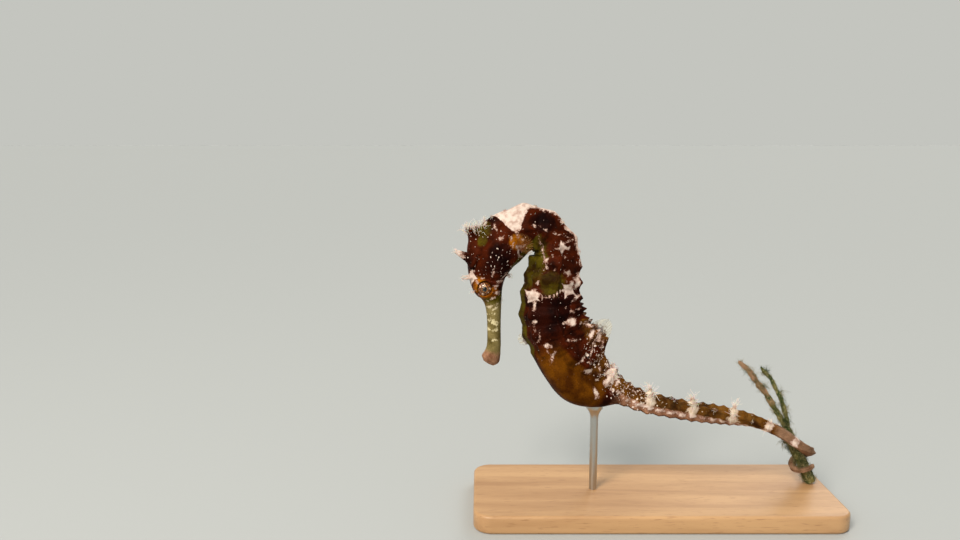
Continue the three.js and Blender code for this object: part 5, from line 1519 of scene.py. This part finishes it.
# Beech, planed, sanded and sealed with satin varnish: a warm pale brown with soft cloudy grain along its
# length, short darker flecks and a low even sheen. The grain is 56 by 6 mm and a fleck 4 by 0.4 mm.
sealed_beech, beech_tree, beech_shader = material("sealed_beech", IOR=1.46)
beech_coords = node(beech_tree, "ShaderNodeTexCoord").outputs["Object"]
lengthwise = node(beech_tree, "ShaderNodeMapping", {"Vector": beech_coords, "Scale": (6, 60, 60)})
figure = node(beech_tree, "ShaderNodeTexNoise",
              {"Vector": lengthwise, "Scale": 3, "Detail": 5, "Distortion": 0.5})
figure = node(beech_tree, "ShaderNodeMapRange", {"Value": figure, "From Min": 0.35, "From Max": 0.65})
pores = node(beech_tree, "ShaderNodeMapping", {"Vector": beech_coords, "Scale": (260, 2600, 2600)})
pores = node(beech_tree, "ShaderNodeTexNoise", {"Vector": pores, "Scale": 1, "Detail": 2})
flecks = node(beech_tree, "ShaderNodeMapRange",
              {"Value": pores, "From Min": 0.6, "From Max": 0.72, "To Max": 0.55})
beech = node(beech_tree, "ShaderNodeMixRGB", {"Fac": figure, "Color1": "#a57d55", "Color2": "#c0986c"})
beech = node(beech_tree, "ShaderNodeMixRGB", {"Fac": flecks, "Color1": beech, "Color2": "#8a6240"})
beech_tree.links.new(beech.outputs[0], beech_shader.inputs["Base Color"])
satin = node(beech_tree, "ShaderNodeMapRange", {"Value": pores, "To Min": 0.36, "To Max": 0.5})
beech_tree.links.new(satin.outputs[0], beech_shader.inputs["Roughness"])
beech_bump = node(beech_tree, "ShaderNodeBump", {"Height": pores, "Strength": 0.15, "Distance": 0.00005})
beech_tree.links.new(beech_bump.outputs[0], beech_shader.inputs["Normal"])

# Stainless steel, brushed round the rod: a soft grey shine broken by fine rings 0.1 mm apart.
brushed_steel, steel_tree, steel_shader = material("brushed_steel", Metallic=1.0, **{"Base Color": "#b9b8b3"})
steel_coords = node(steel_tree, "ShaderNodeTexCoord").outputs["Object"]
brushed = node(steel_tree, "ShaderNodeMapping", {"Vector": steel_coords, "Scale": (300, 300, 9000)})
brushed = node(steel_tree, "ShaderNodeTexNoise", {"Vector": brushed, "Scale": 1, "Detail": 3})
brush_rough = node(steel_tree, "ShaderNodeMapRange", {"Value": brushed, "To Min": 0.22, "To Max": 0.42})
steel_tree.links.new(brush_rough.outputs[0], steel_shader.inputs["Roughness"])
steel_bump = node(steel_tree, "ShaderNodeBump", {"Height": brushed, "Strength": 0.1, "Distance": 0.00002})
steel_tree.links.new(steel_bump.outputs[0], steel_shader.inputs["Normal"])

base_faces = outward(base_points, base_faces)
base = mesh_object("stand_base_beech", base_points, base_faces, sealed_beech, smooth=False)
for face in base.data.polygons:
    face.use_smooth = len(face.vertices) == 4
pouch_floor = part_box("brood_pouch")[0][2] / MM
rod, cup, flare = BODY_ROD["radius"], BODY_ROD["cup"], BODY_ROD["flare"]
flare_foot = pouch_floor - flare - 0.6
cup_rows = [(0, ROD_FLOOR), (rod - 0.1, ROD_FLOOR), (rod, ROD_FLOOR + 0.1)]
cup_rows += [(rod, z) for z in np.linspace(4, pouch_floor - flare - 1, 8)]
cup_rows += [(rod + (cup - rod) * t ** 2, flare_foot + flare * t) for t in np.linspace(0, 1, 10)]
cup_rows += [(cup + wider, pouch_floor + rise) for wider, rise in (  # its lip and its hollow
    (0, 0.3), (0.04, 0.5), (0, 0.68), (-0.2, 0.7), (-0.35, 0.55), (-0.8, 0.1))]
cup_rows.append((0, pouch_floor - 0.1))
rod_solid = turned_solid(cup_rows, (BODY_ROD["x"], 0, 0), (0, 0, 1), 48)
body_rod = mesh_object("stand_rod_cup", *rod_solid, brushed_steel)
pin_top = STEM_BELOW - PERCH_ROD["in_stem"]
pin_floor = (crossing[2] - ROD_FLOOR) / -down_stem[2]
rod = PERCH_ROD["radius"]
pin_rows = [(0, pin_top), (rod - 0.15, pin_top), (rod, pin_top + 0.15)]
pin_rows += [(rod, z) for z in np.linspace(pin_top + 0.4, pin_floor - 0.4, 8)]
pin_rows += [(rod, pin_floor - 0.1), (rod - 0.1, pin_floor), (0, pin_floor)]
pin = mesh_object("stand_rod_pin", *turned_solid(pin_rows, crossing, down_stem, 32), brushed_steel)
for made, replaced, slot in ((base, "stand_base", "base"), (body_rod, "stand_rod_body", "rod"),
                             (pin, "stand_rod_perch", "rod")):
    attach(made, "root")
    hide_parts(replaced)
